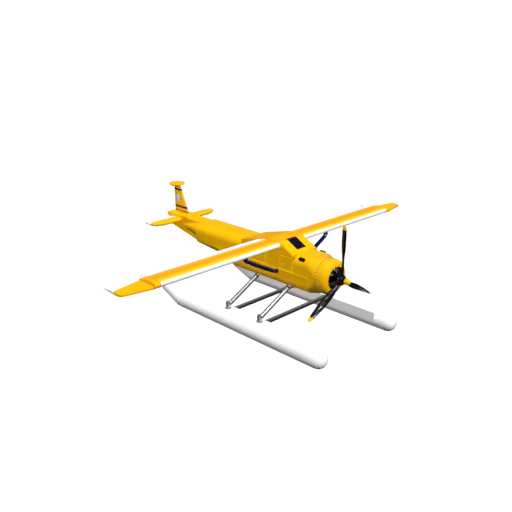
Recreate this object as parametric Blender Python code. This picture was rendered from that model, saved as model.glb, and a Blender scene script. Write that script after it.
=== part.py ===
"""A single-engine, high-wing floatplane as an assembly of named solids.

Units are metres. The nose points toward -Y, the left wing toward +X and up is +Z.
z = 0 is the surface under the floats. Pieces named _L are on the aircraft's left (+X),
pieces named _R on its right (-X).
"""
from math import cos, pi, radians, sin

import bmesh
import bpy
from mathutils import Vector

SEAT_GAP = 0.0003          # between pieces that rest on each other
RUN_GAP = 0.008            # between a moving piece and its surround
CONTROL_GAP = 0.012        # ahead of a control surface and at its ends
ARC_STEPS = 5              # flat facets in a quarter of a rounded corner

# Fuselage, seen from the front: one half-width all the way back to the tail cone
BODY_HALF = 0.663
BODY_BOTTOM = 1.72
BODY_TOP = 3.03
LOW_CORNER = 0.30
SHOULDER = 0.33
NOSE_Y = -3.229            # front of the nose section
FIREWALL_Y = -2.536
CABIN_AFT_Y = 0.163
BELLY_RISE_Y = 0.67        # the belly starts to rise here
BELLY_STEP_Y = 1.571       # end of the deep belly
FULL_WIDTH_AFT_Y = 2.921
TAIL_HALF = 0.3325
BASE_FRONT_Y = 3.87
TAIL_END_Y = 5.02

# Cabin shell
WALL = 0.05
ROOF_THICK = 0.06
FLOOR_Z = BODY_BOTTOM + LOW_CORNER
SCREEN_BOTTOM_Z = 3.016
SCREEN_TOP_Y = -1.862
SCREEN_TOP_Z = 3.376
SCREEN_FRAME_AFT_Y = -1.70         # the screen's frame reaches onto the front of the roof
SCREEN_CUT = (-2.354, -1.765, 0.25)    # opening: front edge, aft edge, half-width
ROOF_BREAK_Y = -1.23
CARGO_PANEL = (-1.20, -0.64, 0.50, 0.012)    # front edge, aft edge, half-width, height
DOOR_SILL_Z = 2.37
CREW_DOOR = (-2.46, -1.875, 2.90)      # front edge, aft edge, top
CABIN_DOOR = (-1.135, -0.185, 3.06)    # front edge, aft edge, top
DOOR_WINDOW = (-0.90, -0.42, 2.70, 2.97)
HINGE_PIN_R = 0.008
PANE_DROP = -0.022         # top of the pane below the frame's outer face
PANE_THICK = 0.008
SCREEN_BEVEL = 0.05
PIN_REACH = 0.03           # how far a hinge pin goes into its door
PANEL_Z = (2.60, 2.93)             # instrument panel: low edge, top
PANEL_DEPTH = (0.06, 0.16)         # its depth at the low edge and at the top
PANEL_SIDE_GAP = 0.04
SEAT_ROWS = (
    # name, right side, left side, front edge, top of the back
    ("crew_seat_L", 0.08, 0.52, -1.78, 2.92),
    ("crew_seat_R", -0.52, -0.08, -1.78, 2.92),
    ("cabin_bench", -0.52, 0.52, -0.62, 2.86),
)
SEAT_DEPTH = 0.46
SEAT_INSET = 0.06                  # the base stands back from the cushion's front
CUSHION_TOP_Z = 2.42
CUSHION_THICK = 0.12
BACK_LEAN = 0.10
EXHAUST_Y = (-2.94, -2.82)
EXHAUST_RADII = (0.075, 0.07)
EXHAUST_LENGTH = 0.05

# Wing
WING_LE_Y = -1.900
WING_CHORD = 1.246
WING_BOTTOM_Z = 3.149
WING_NOSE_R = 0.10
WING_AFT_DROP = 0.075              # the section's aft edge: below the top
WING_AFT_RISE = 0.012              # and above the bottom
WING_TOP_Z = 3.36
FLAP_CHORD = 0.27
RIB_X = 5.994
TIP_X = 6.24
SEMI_SPAN = 7.34
TIP_BOTTOM_Z = 3.155
TIP_TOP_Z = 3.255
TIP_LE = (-1.87, -1.66)            # tip plate's front edge, inboard and outboard
AILERON_FRONT = (-1.00, -1.27)     # aileron's front edge at the rib and at the tip
AILERON_AFT = (
    # span station, trailing edge
    (6.006, -0.46),
    (6.08, -0.42),
    (6.70, -0.47),
    (7.15, -0.57),
    (7.34, -0.70),
)
BRACKET = 0.022                    # hinge bracket between flap and aileron
BARREL = (90, 120, 150, 180, 210, 240, 270)   # angles of a control surface's round front edge
FLAP_R = 0.055                     # round front edges
AILERON_R = 0.045
WING_STRUT_TOP = (2.19, -1.679)
WING_STRUT_FOOT = (0.085, -1.735, 2.235)      # out from the cabin side, station, height
WING_STRUT_ELBOW_Z = 2.970
WING_STRUT_RADII = (0.08, 0.08, 0.082, 0.08, 0.078, 0.07)

# Tail
TAIL_Z = 2.862
TAIL_SEMI_SPAN = 1.70
TAIL_LE_Y = 4.29
ELEVATOR_Y = 4.74
TAIL_TE_Y = 5.27
TAIL_THICK = 0.17
FIN_BASE_TOP = 3.05
FIN_BASE_LOW = 2.88
FIN_TOP = 4.25
RUDDER_Y = 4.790
FIN_THICK = 0.11
FIN_FRONT = (4.145, 4.680)         # leading edge at the fin's foot and top
RUDDER_AFT = (5.08, 5.10)          # trailing edge at the foot and top
CAP_Y = 4.925
CAP_R = 0.35
CAP_ROWS = (
    # height over the fin, how much smaller than the cap's radius
    (SEAT_GAP, 0.09),
    (0.05, 0.01),
    (0.08, 0.0),
    (0.10, 0.02),
)
ELEVATOR_R = 0.05                  # round front edge
TAILPLANE_ROWS = (
    # span station, distance behind the leading edge's line, thickness share
    (TAIL_HALF + SEAT_GAP, 0.0, 1.0),
    (1.20, 0.0, 1.0),
    (1.52, 0.07, 0.9),
    (1.65, 0.17, 0.7),
    (TAIL_SEMI_SPAN, 0.30, 0.5),
)
TAILPLANE_NOSE_R = 0.08
ELEVATOR_ROWS = (
    # span station, distance ahead of the trailing edge's line
    (TAIL_HALF + 0.03, 0.0),
    (1.45, 0.0),
    (1.62, 0.06),
    (TAIL_SEMI_SPAN, 0.20),
)

# Engine and propeller
ENGINE_Z = 2.386
COWL_R = 0.662
COWL_SEAM_Y = -3.556
COWL_LIP_Y = -3.982
COWL_MOUTH_R = 0.428
COWL_SKIN = 0.03
COWL_SIDES = 32
PROP_Y = -4.251
HUB_R = 0.185
HUB_HALF = 0.065
SPINNER_R = 0.105
BLADE_ROWS = (
    # radius, chord, thickness, pitch in degrees from the disc's plane
    (0.300, 0.120, 0.100, -40.0),
    (0.500, 0.190, 0.090, -40.0),
    (0.700, 0.250, 0.085, -40.0),
    (0.900, 0.270, 0.100, -43.0),
    (1.100, 0.260, 0.125, -51.0),
    (1.300, 0.250, 0.135, -60.0),
    (1.500, 0.230, 0.125, -68.0),
    (1.700, 0.205, 0.100, -79.0),
    (1.850, 0.190, 0.080, -86.0),
    (1.950, 0.150, 0.060, -90.0),
    (2.005, 0.080, 0.040, -90.0),
)
ENGINE_ROWS = (
    # station, radius: crankcase, nose case and shaft collar
    (NOSE_Y - SEAT_GAP, 0.30),
    (-3.40, 0.30),
    (-3.48, 0.25),
    (-3.74, 0.25),
    (-3.84, 0.21),
    (-3.90, 0.15),
    (-4.00, 0.12),
    (PROP_Y + HUB_HALF + SEAT_GAP, 0.09),
)
CYLINDERS = 9
CYLINDER_Y = -3.60
CYLINDER_ROWS = (
    # distance from the shaft, radius
    (0.20, 0.070),
    (0.42, 0.070),
    (0.43, 0.095),
    (0.53, 0.095),
    (0.57, 0.060),
)

# Floats and their struts
FLOAT_X = 2.010
FLOAT_R = 0.339
FLOAT_SIDES = 24
FLOAT_Z = FLOAT_R * cos(pi / FLOAT_SIDES)   # the lowest flat facet lies at z = 0
FLOAT_NOSE_Y = -5.281
HALF_LENGTH = 5.278                # both ends of the aircraft from the middle, floats' noses to tail
DECK_FRONT_Y = -4.569
DECK_Z = 0.690
FLOAT_TAPER_Y = 2.25
FLOAT_STERN_Y = 3.50
DECK_SHOULDER = (
    # inner top of a float section, as shares of its half-width and of its height to the deck
    (-0.13, 1.0),
    (-0.41, 1.0),
    (-0.80, 1.0),
    (-1.0, 1.0),
    (-1.0, 0.38),
    (-1.0, 0.13),
)
STRUT_STATIONS = {"front": -2.06, "rear": -0.385}
STRUT_FOOT_X = 1.89
STRUT_R = 0.084
STRUT_POST = (
    # height over the deck, radius of the upright foot
    (0.0, 0.095),
    (0.21, 0.095),
    (0.265, 0.072),
    (0.295, 0.03),
)
STRUT_START_Z = 0.805              # the sloping tube leaves the foot here
STRUT_HEAD = (0.33, 1.60)          # side and height of its upper end
STRUT_TOP = (0.265, 1.655)         # and of the bend up to the belly
BAR_STATIONS = {"front": -2.18, "rear": -0.52}
BAR_HALF_WIDTH = 0.08
BAR_Z = (0.57, 0.69)
BAR_EDGE = 0.02

SIDES = {"L": 1.0, "R": -1.0}

PAINTS = {
    # name: red, green, blue, roughness, metallic
    "yellow": (1.0, 0.55, 0.005, 0.35, 0.0),
    "white": (0.90, 0.90, 0.90, 0.35, 0.0),
    "black": (0.01, 0.01, 0.012, 0.25, 0.0),
    "navy": (0.01, 0.015, 0.09, 0.30, 0.3),
    "steel": (0.55, 0.56, 0.58, 0.25, 0.9),
    "glass": (0.05, 0.04, 0.05, 0.08, 0.0),
    "fabric": (0.10, 0.06, 0.05, 0.80, 0.0),
    "panel": (0.02, 0.015, 0.02, 0.50, 0.0),
}


def clear_scene():
    for item in list(bpy.data.objects):
        bpy.data.objects.remove(item, do_unlink=True)


def paint(name):
    material = bpy.data.materials.get(name)
    if material is None:
        material = bpy.data.materials.new(name)
        material.use_nodes = True
        red, green, blue, rough, metal = PAINTS[name]
        shader = material.node_tree.nodes["Principled BSDF"]
        shader.inputs["Base Color"].default_value = (red, green, blue, 1.0)
        shader.inputs["Roughness"].default_value = rough
        shader.inputs["Metallic"].default_value = metal
    return material


def add_object(name, bm, colour, origin=(0.0, 0.0, 0.0), parent=None):
    """Turn a world-space bmesh into an object whose own origin is at `origin`."""
    bmesh.ops.recalc_face_normals(bm, faces=bm.faces)
    bmesh.ops.translate(bm, verts=bm.verts, vec=-Vector(origin))
    mesh = bpy.data.meshes.new(name)
    bm.to_mesh(mesh)
    bm.free()
    own_paint = paint(colour).copy()
    own_paint.name = name + "_paint"
    mesh.materials.append(own_paint)
    item = bpy.data.objects.new(name, mesh)
    bpy.context.collection.objects.link(item)
    if parent is None:
        item.location = origin
    else:
        item.parent = parent
        item.location = Vector(origin) - parent.location
    return item


def smooth(item, angle=35.0):
    item.data.shade_smooth()
    item.data.set_sharp_from_angle(angle=radians(angle))
    return item


def loft(rings, closed_loop=False):
    """A closed body through rings of equal length; the first and last ring are capped."""
    bm = bmesh.new()
    layers = []
    for ring in rings:
        layers.append([bm.verts.new(point) for point in ring])
    pairs = list(zip(layers[:-1], layers[1:]))
    if closed_loop:
        pairs.append((layers[-1], layers[0]))
    count = len(layers[0])
    for first, second in pairs:
        for index in range(count):
            after = (index + 1) % count
            bm.faces.new((first[index], first[after], second[after], second[index]))
    if not closed_loop:
        bm.faces.new(layers[0])
        bm.faces.new(layers[-1])
    return bm


def box(low, high):
    (x0, y0, z0), (x1, y1, z1) = low, high
    ring_low = [(x0, y0, z0), (x1, y0, z0), (x1, y1, z0), (x0, y1, z0)]
    ring_high = [(x0, y0, z1), (x1, y0, z1), (x1, y1, z1), (x0, y1, z1)]
    return loft([ring_low, ring_high])


def prism_x(outline, x0, x1):
    """Extrude a (y, z) outline from x0 to x1."""
    return loft([[(x, y, z) for y, z in outline] for x in (x0, x1)])


def arc(centre, radius, start, stop, steps=ARC_STEPS):
    """Points on an arc in a plane, angles in degrees."""
    points = []
    for step in range(steps + 1):
        angle = radians(start + (stop - start) * step / steps)
        points.append((centre[0] + radius * cos(angle), centre[1] + radius * sin(angle)))
    return points


def turned(profile, sides, centre_z):
    """Rings of (y, radius) points turned about a fore-and-aft axis in the middle plane."""
    rings = []
    for y, radius in profile:
        ring = []
        for side in range(sides):
            angle = 2.0 * pi * (side + 0.5) / sides
            ring.append((radius * cos(angle), y, centre_z + radius * sin(angle)))
        rings.append(ring)
    return rings


def tube(path, radii, sides=12):
    """A round bar through the points of a path; each ring is square to the path there."""
    points = [Vector(point) for point in path]
    rings = []
    across = None
    for index, point in enumerate(points):
        before = points[max(index - 1, 0)]
        after = points[min(index + 1, len(points) - 1)]
        along_in = (point - before).normalized() if index > 0 else (after - point).normalized()
        along_out = (after - point).normalized() if index < len(points) - 1 else along_in
        along = (along_in + along_out).normalized()
        if across is None:
            guide = Vector((0, 1, 0)) if abs(along.y) < 0.9 else Vector((1, 0, 0))
            across = along.cross(guide).normalized()
        across = (across - along * across.dot(along)).normalized()
        up = along.cross(across)
        ring = []
        for side in range(sides):
            angle = 2.0 * pi * side / sides
            ring.append(point + radii[index] * (cos(angle) * across + sin(angle) * up))
        rings.append(ring)
    return loft(rings)


def boolean(item, tool_mesh, operation):
    """Cut or unite with a closed bmesh, applied at once so the guide leaves no object behind."""
    bmesh.ops.recalc_face_normals(tool_mesh, faces=tool_mesh.faces)
    mesh = bpy.data.meshes.new("tool")
    tool_mesh.to_mesh(mesh)
    tool_mesh.free()
    guide = bpy.data.objects.new("tool", mesh)
    bpy.context.collection.objects.link(guide)
    guide.hide_render = True
    guide.display_type = "WIRE"
    modifier = item.modifiers.new(operation.lower(), "BOOLEAN")
    modifier.operation = operation
    modifier.solver = "EXACT"
    modifier.object = guide
    bpy.context.view_layer.update()
    evaluated = item.evaluated_get(bpy.context.evaluated_depsgraph_get())
    result = bpy.data.meshes.new_from_object(evaluated)
    item.modifiers.clear()
    old = item.data
    item.data = result
    bpy.data.meshes.remove(old)
    bpy.data.objects.remove(guide, do_unlink=True)
    bpy.data.meshes.remove(mesh)
    return item


def pivot(name, point):
    empty = bpy.data.objects.new(name, None)
    empty.location = point
    bpy.context.collection.objects.link(empty)
    return empty


def body_ring(y, half, bottom, top, low_r, top_r, steps=ARC_STEPS):
    """One fuselage section: from the keel up the left side, over the top and down the right."""
    left = arc((half - low_r, bottom + low_r), low_r, -90, 0, steps)
    left += arc((half - top_r, top - top_r), top_r, 0, 90, steps)
    right = [(-x, z) for x, z in reversed(left)]
    return [(x, y, z) for x, z in left + right]


def roof_z(y):
    """Outer height of the cabin top at a station: windscreen slope, flat, then the aft ramp."""
    if y < SCREEN_TOP_Y:
        share = (y - FIREWALL_Y) / (SCREEN_TOP_Y - FIREWALL_Y)
        return SCREEN_BOTTOM_Z + share * (SCREEN_TOP_Z - SCREEN_BOTTOM_Z)
    if y < ROOF_BREAK_Y:
        return SCREEN_TOP_Z
    share = (y - ROOF_BREAK_Y) / (CABIN_AFT_Y - ROOF_BREAK_Y)
    return SCREEN_TOP_Z + share * (BODY_TOP - SCREEN_TOP_Z)


def make_cabin():
    belly = arc((BODY_HALF - LOW_CORNER, BODY_BOTTOM + LOW_CORNER), LOW_CORNER, -90, 0)
    belly += [(-x, z) for x, z in reversed(belly)]
    rings = [[(x, y, z) for x, z in belly] for y in (FIREWALL_Y, CABIN_AFT_Y)]
    keel = add_object("cabin_floor", loft(rings), "yellow")
    front, aft, half, rise = CARGO_PANEL
    boolean(keel, box((-half, front, FLOOR_Z - rise), (half, aft, FLOOR_Z + rise)), "UNION")
    smooth(keel)

    floor = FLOOR_Z + SEAT_GAP
    under_roof = ROOF_THICK + SEAT_GAP
    front_top = roof_z(FIREWALL_Y) - under_roof
    wall_outline = [
        (FIREWALL_Y, floor), (CABIN_AFT_Y, floor), (CABIN_AFT_Y, BODY_TOP - under_roof),
        (ROOF_BREAK_Y, SCREEN_TOP_Z - under_roof), (SCREEN_TOP_Y, SCREEN_TOP_Z - under_roof),
        (FIREWALL_Y, front_top)]
    for side, sign in SIDES.items():
        inner = sign * (BODY_HALF - WALL)
        outer = sign * BODY_HALF
        wall = add_object("cabin_side_" + side, prism_x(wall_outline, inner, outer), "yellow")
        for front, aft, top in (CREW_DOOR, CABIN_DOOR):
            low = (min(inner, outer) - WALL, front, DOOR_SILL_Z)
            high = (max(inner, outer) + WALL, aft, top)
            boolean(wall, box(low, high), "DIFFERENCE")
        make_door("crew_door_" + side, sign, CREW_DOOR, None)
        make_door("cabin_door_" + side, sign, CABIN_DOOR, DOOR_WINDOW)

    inside = BODY_HALF - WALL - SEAT_GAP
    add_object("firewall", box((-inside, FIREWALL_Y, floor),
                               (inside, FIREWALL_Y + WALL, front_top)), "yellow")
    add_object("aft_bulkhead", box((-inside, CABIN_AFT_Y - WALL, floor),
                                   (inside, CABIN_AFT_Y, BODY_TOP - under_roof)), "yellow")
    make_roof()
    make_windscreen()
    make_interior(inside, floor)


def make_door(name, sign, opening, window):
    """A door panel flush in its opening, hinged on a pin near its front outer edge."""
    front, aft, top = opening
    axis = (sign * (BODY_HALF - HINGE_PIN_R), front + RUN_GAP + HINGE_PIN_R)
    hinge = pivot(name + "_hinge", (axis[0], axis[1], DOOR_SILL_Z))
    low_z = DOOR_SILL_Z + RUN_GAP
    high_z = top - RUN_GAP
    xs = sorted((sign * (BODY_HALF - WALL), sign * BODY_HALF))
    panel = box((xs[0], front + RUN_GAP, low_z), (xs[1], aft - RUN_GAP, high_z))
    door = add_object(name, panel, "yellow", (axis[0], axis[1], DOOR_SILL_Z), hinge)
    bpy.context.view_layer.update()
    for z0, z1 in ((DOOR_SILL_Z + SEAT_GAP, low_z + PIN_REACH), (high_z - PIN_REACH, top - SEAT_GAP)):
        pin_path = [(0, 0, z0 - DOOR_SILL_Z), (0, 0, z1 - DOOR_SILL_Z)]
        pin = tube(pin_path, (HINGE_PIN_R * 0.9, HINGE_PIN_R * 0.9), sides=8)
        bmesh.ops.translate(pin, verts=pin.verts, vec=(axis[0], axis[1], DOOR_SILL_Z))
        boolean(door, pin, "UNION")
    if window is None:
        return
    y0, y1, z0, z1 = window
    boolean(door, box((xs[0] - WALL, y0, z0), (xs[1] + WALL, y1, z1)), "DIFFERENCE")
    mid = 0.5 * (xs[0] + xs[1])
    half = 0.5 * PANE_THICK
    pane = box((mid - half, y0 + SEAT_GAP, z0 + SEAT_GAP), (mid + half, y1 - SEAT_GAP, z1 - SEAT_GAP))
    add_object(name.replace("door", "window"), pane, "glass", (axis[0], axis[1], DOOR_SILL_Z), hinge)


def make_roof():
    front = SCREEN_FRAME_AFT_Y + SEAT_GAP
    outline = [(front, SCREEN_TOP_Z), (ROOF_BREAK_Y, SCREEN_TOP_Z), (CABIN_AFT_Y, BODY_TOP)]
    outline += [(y, z - ROOF_THICK) for y, z in reversed(outline)]
    add_object("cabin_roof", prism_x(outline, -BODY_HALF, BODY_HALF), "yellow")


def make_windscreen():
    """A frame bent over the top of the screen, with bevelled sides, and the bent pane in it."""
    top_half = BODY_HALF - SCREEN_BEVEL
    section = [(-BODY_HALF, -ROOF_THICK), (-BODY_HALF, -SCREEN_BEVEL), (-top_half, 0.0),
               (top_half, 0.0), (BODY_HALF, -SCREEN_BEVEL), (BODY_HALF, -ROOF_THICK)]
    rings = []
    for y in (FIREWALL_Y, SCREEN_TOP_Y, SCREEN_FRAME_AFT_Y):
        rings.append([(x, y, roof_z(y) + z) for x, z in section])
    frame = add_object("windscreen_frame", loft(rings), "yellow")
    front, aft, half = SCREEN_CUT
    boolean(frame, screen_strip(front, aft, 0.2, -0.2, half), "DIFFERENCE")
    pane = screen_strip(front + SEAT_GAP, aft - SEAT_GAP, PANE_DROP, PANE_DROP - PANE_THICK,
                        half - SEAT_GAP)
    add_object("windscreen_glass", pane, "glass")


def screen_strip(front, aft, high, low, half):
    """A bent strip over the screen's slope and the roof's front, between two heights off it."""
    stations = (front, SCREEN_TOP_Y, aft)
    outline = [(y, roof_z(y) + high) for y in stations]
    outline += [(y, roof_z(y) + low) for y in reversed(stations)]
    return prism_x(outline, -half, half)


def make_interior(inside, floor):
    panel_front = FIREWALL_Y + WALL + SEAT_GAP
    low, top = PANEL_Z
    low_depth, top_depth = PANEL_DEPTH
    panel = [(panel_front, low), (panel_front + low_depth, low), (panel_front + top_depth, top),
             (panel_front, top)]
    half = inside - PANEL_SIDE_GAP
    add_object("instrument_panel", prism_x(panel, -half, half), "panel")
    for name, right, left, front, back_top in SEAT_ROWS:
        add_object(name, prism_x(seat_outline(front, floor, back_top), right, left), "fabric")


def seat_outline(front, floor, back_top):
    """Side view of a seat: box base, cushion and a raked back."""
    aft = front + SEAT_DEPTH
    low = CUSHION_TOP_Z - CUSHION_THICK
    return [(front + SEAT_INSET, floor), (aft, floor), (aft, CUSHION_TOP_Z),
            (aft + BACK_LEAN, back_top), (aft, back_top), (aft - BACK_LEAN, CUSHION_TOP_Z),
            (front, CUSHION_TOP_Z), (front, low), (front + SEAT_INSET, low)]


def make_nose():
    rings = []
    for y in (NOSE_Y, FIREWALL_Y - SEAT_GAP):
        rings.append(body_ring(y, BODY_HALF, BODY_BOTTOM, BODY_TOP, LOW_CORNER, SHOULDER))
    smooth(add_object("nose_section", loft(rings), "yellow"))
    for side, sign in SIDES.items():
        make_exhaust("exhaust_" + side, sign)
    make_cowl_ring()
    make_cowl_lip()


def make_cowl_ring():
    """The panel between the rounded-square nose section and the round cowl lip."""
    rear_y = NOSE_Y - SEAT_GAP
    front_y = COWL_SEAM_Y + SEAT_GAP
    square = body_ring(rear_y, BODY_HALF, BODY_BOTTOM, BODY_TOP, LOW_CORNER, SHOULDER,
                       COWL_SIDES // 4 - 1)
    start = radians(-90.0 + 180.0 / COWL_SIDES)
    turns = [start + 2.0 * pi * side / COWL_SIDES for side in range(COWL_SIDES)]
    circle = [(COWL_R * cos(turn), front_y, ENGINE_Z + COWL_R * sin(turn)) for turn in turns]
    share = 1.0 - COWL_SKIN / COWL_R
    inner = []
    for ring in (circle, square):
        inner.append([(x * share, y, ENGINE_Z + (z - ENGINE_Z) * share) for x, y, z in ring])
    smooth(add_object("cowl_ring", loft([square, circle] + inner, True), "yellow"))


def make_cowl_lip():
    """The rounded front of the cowl, drawn in to the mouth, and its inner skin."""
    mouth_step = COWL_R - COWL_MOUTH_R
    nose_depth = 0.21
    profile = [(COWL_SEAM_Y, COWL_R)]
    for step in range(ARC_STEPS + 1):
        angle = radians(90.0 * step / ARC_STEPS)
        profile.append((COWL_LIP_Y + nose_depth * (1.0 - sin(angle)),
                        COWL_MOUTH_R + mouth_step * cos(angle)))
    profile.append((COWL_LIP_Y + 0.05, COWL_MOUTH_R - 0.006))
    profile.append((COWL_LIP_Y + 0.12, COWL_MOUTH_R + COWL_SKIN))
    profile.append((COWL_SEAM_Y - 0.10, COWL_R - COWL_SKIN))
    profile.append((COWL_SEAM_Y, COWL_R - COWL_SKIN))
    smooth(add_object("cowl_lip", loft(turned(profile, COWL_SIDES, ENGINE_Z), True), "yellow"))


def make_exhaust(name, sign):
    """Two short pipes side by side, standing out of the nose shoulder."""
    centre = Vector((sign * (BODY_HALF - SHOULDER), 0.0, BODY_TOP - SHOULDER))
    outward = Vector((sign * cos(radians(45)), 0.0, sin(radians(45))))
    foot = centre + outward * (SHOULDER * cos(radians(45.0 / ARC_STEPS)) + SEAT_GAP)
    pipes = []
    for y in EXHAUST_Y:
        base = Vector((foot.x, y, foot.z))
        path = [base, base + outward * EXHAUST_LENGTH]
        pipes.append(tube(path, EXHAUST_RADII, sides=12))
    item = add_object(name, pipes[0], "black")
    return boolean(item, pipes[1], "UNION")


def make_engine():
    """Crankcase, nose case and the ring of cylinders, as one solid inside the cowl."""
    engine = add_object("engine_block", loft(turned(ENGINE_ROWS, 24, ENGINE_Z)), "black")
    for number in range(CYLINDERS):
        turn = radians(90.0 + 360.0 * number / CYLINDERS)
        outward = Vector((cos(turn), 0.0, sin(turn)))
        shaft = Vector((0.0, CYLINDER_Y, ENGINE_Z))
        path = [shaft + outward * distance for distance, radius in CYLINDER_ROWS]
        barrel = tube(path, [radius for distance, radius in CYLINDER_ROWS], sides=10)
        boolean(engine, barrel, "UNION")
    smooth(engine)


def make_propeller():
    origin = (0.0, PROP_Y, ENGINE_Z)
    shaft = pivot("propeller_shaft", origin)
    hub_front = PROP_Y - HUB_HALF
    collar_front = hub_front - 0.085
    hub = [(PROP_Y + HUB_HALF, HUB_R - 0.03), (PROP_Y + HUB_HALF - 0.03, HUB_R),
           (hub_front + 0.03, HUB_R), (hub_front, HUB_R - 0.03), (hub_front, 0.125),
           (collar_front, 0.115)]
    smooth(add_object("propeller_hub", loft(turned(hub, 24, ENGINE_Z)), "black", origin, shaft))
    front = collar_front - SEAT_GAP
    dome_y = front - 0.10
    spinner = [(front, SPINNER_R), (dome_y, SPINNER_R)]
    for step in range(1, 5):
        angle = radians(90.0 * step / 5)
        spinner.append((dome_y - 0.10 * sin(angle), SPINNER_R * cos(angle)))
    smooth(add_object("spinner", loft(turned(spinner, 24, ENGINE_Z)), "yellow", origin, shaft))
    for number, angle in enumerate((90.0, 210.0, 330.0), start=1):
        make_blade("propeller_blade_%d" % number, radians(angle), origin, shaft)


def make_blade(name, angle, origin, shaft):
    """A twisted blade standing on one facet of the hub's rim."""
    along = Vector((cos(angle), 0.0, sin(angle)))
    tangent = Vector((-sin(angle), 0.0, cos(angle)))
    root = (HUB_R * cos(pi / 24) + SEAT_GAP, 0.060, 0.060, -40.0)
    sides = 12
    rings = []
    for radius, chord, thick, pitch in (root,) + BLADE_ROWS:
        wide = tangent * cos(radians(pitch)) + Vector((0, 1, 0)) * sin(radians(pitch))
        deep = along.cross(wide)
        centre = Vector(origin) + along * radius
        ring = []
        for side in range(sides):
            turn = 2.0 * pi * side / sides
            ring.append(centre + wide * (0.5 * chord * cos(turn)) + deep * (0.5 * thick * sin(turn)))
        rings.append(ring)
    return smooth(add_object(name, loft(rings), "black", origin, shaft))


def wing_ring(x, te_y):
    """A wing section without its flap: round nose, flat bottom, top falling to the hinge side."""
    le_y, bottom, top, nose_r = WING_LE_Y, WING_BOTTOM_Z, WING_TOP_Z, WING_NOSE_R
    nose_top = top - 0.01
    mid = 0.5 * (bottom + nose_top)
    nose_z = 0.5 * (nose_top - bottom)
    ring = []
    for step in range(7):
        angle = radians(-90.0 - 180.0 * step / 6)
        ring.append((x, le_y + nose_r + nose_r * cos(angle), mid + nose_z * sin(angle)))
    chord = te_y - le_y
    ring.append((x, le_y + 0.32 * chord, top))
    ring.append((x, le_y + 0.65 * chord, top - 0.02))
    ring.append((x, te_y, top - WING_AFT_DROP))
    ring.append((x, te_y, bottom + WING_AFT_RISE))
    return ring


def make_wings():
    hinge_y = WING_LE_Y + WING_CHORD - FLAP_CHORD
    flap_z = 0.5 * (WING_BOTTOM_Z + WING_AFT_RISE + WING_TOP_Z - WING_AFT_DROP)
    for side, sign in SIDES.items():
        root = sign * (BODY_HALF + SEAT_GAP)
        end = sign * (RIB_X - SEAT_GAP)
        rings = [wing_ring(x, hinge_y - 0.01) for x in (root, end)]
        wing = add_object("wing_" + side, loft(rings), "yellow")
        bracket_x = sorted((sign * (RIB_X - BRACKET), end))
        boolean(wing, box((bracket_x[0], hinge_y - 0.06, flap_z - 0.035),
                          (bracket_x[1], hinge_y + 0.12, flap_z + 0.025)), "UNION")
        smooth(wing)
        make_flap(side, sign, hinge_y, flap_z)
        make_tip(side, sign)
        make_aileron(side, sign)
        make_wing_strut(side, sign)


def make_flap(side, sign, hinge_y, hinge_z):
    """The full-span flap strip, turning on stub pins at its ends."""
    inner = sign * (BODY_HALF + 0.03)
    outer = sign * (RIB_X - BRACKET - CONTROL_GAP)
    radius = FLAP_R
    origin = (sign * BODY_HALF, hinge_y + radius, hinge_z)
    hinge = pivot("flap_hinge_" + side, origin)
    rings = []
    for x in (inner, outer):
        ring = [(x, hinge_y + radius + radius * cos(radians(a)), hinge_z + radius * sin(radians(a)))
                for a in BARREL]
        ring.append((x, WING_LE_Y + WING_CHORD, hinge_z - 0.030))
        ring.append((x, WING_LE_Y + WING_CHORD, hinge_z - 0.016))
        rings.append(ring)
    flap = smooth(add_object("flap_" + side, loft(rings), "white", origin, hinge))
    stubs = ((sign * (BODY_HALF + SEAT_GAP), inner + sign * 0.02),
             (outer - sign * 0.02, sign * (RIB_X - BRACKET - SEAT_GAP)))
    for x0, x1 in stubs:
        pin = tube([(x0, origin[1], hinge_z), (x1, origin[1], hinge_z)], (0.018, 0.018), sides=8)
        boolean(flap, pin, "UNION")


def make_tip(side, sign):
    """End rib and the thinner swept tip plate ahead of the aileron, as one piece."""
    rib = []
    for x in (RIB_X, TIP_X):
        aft = aileron_line(x) - CONTROL_GAP
        rib.append(wing_ring(sign * x, aft))
    tip = add_object("wing_tip_" + side, loft(rib), "yellow")

    corner = 0.14
    end = SEMI_SPAN
    outline = [(TIP_X - 0.05, TIP_LE[0]), (end - corner, TIP_LE[1] - 0.03)]
    for step in range(1, 4):
        angle = radians(90.0 * step / 4)
        outline.append((end - corner * (1 - sin(angle)), TIP_LE[1] - 0.03 + corner * (1 - cos(angle))))
    outline += [(end, TIP_LE[1] + corner), (end, aileron_line(end) - CONTROL_GAP),
                (TIP_X - 0.05, aileron_line(TIP_X - 0.05) - CONTROL_GAP)]
    outline = [(sign * x, y) for x, y in outline]
    boolean(tip, plate_from_outline(outline, TIP_BOTTOM_Z, TIP_TOP_Z, 0.03), "UNION")
    smooth(tip, 40)


def aileron_line(x):
    """Fore-and-aft place of the aileron's front edge at a span station."""
    share = (x - RIB_X) / (SEMI_SPAN - RIB_X)
    return AILERON_FRONT[0] + share * (AILERON_FRONT[1] - AILERON_FRONT[0])


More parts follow.
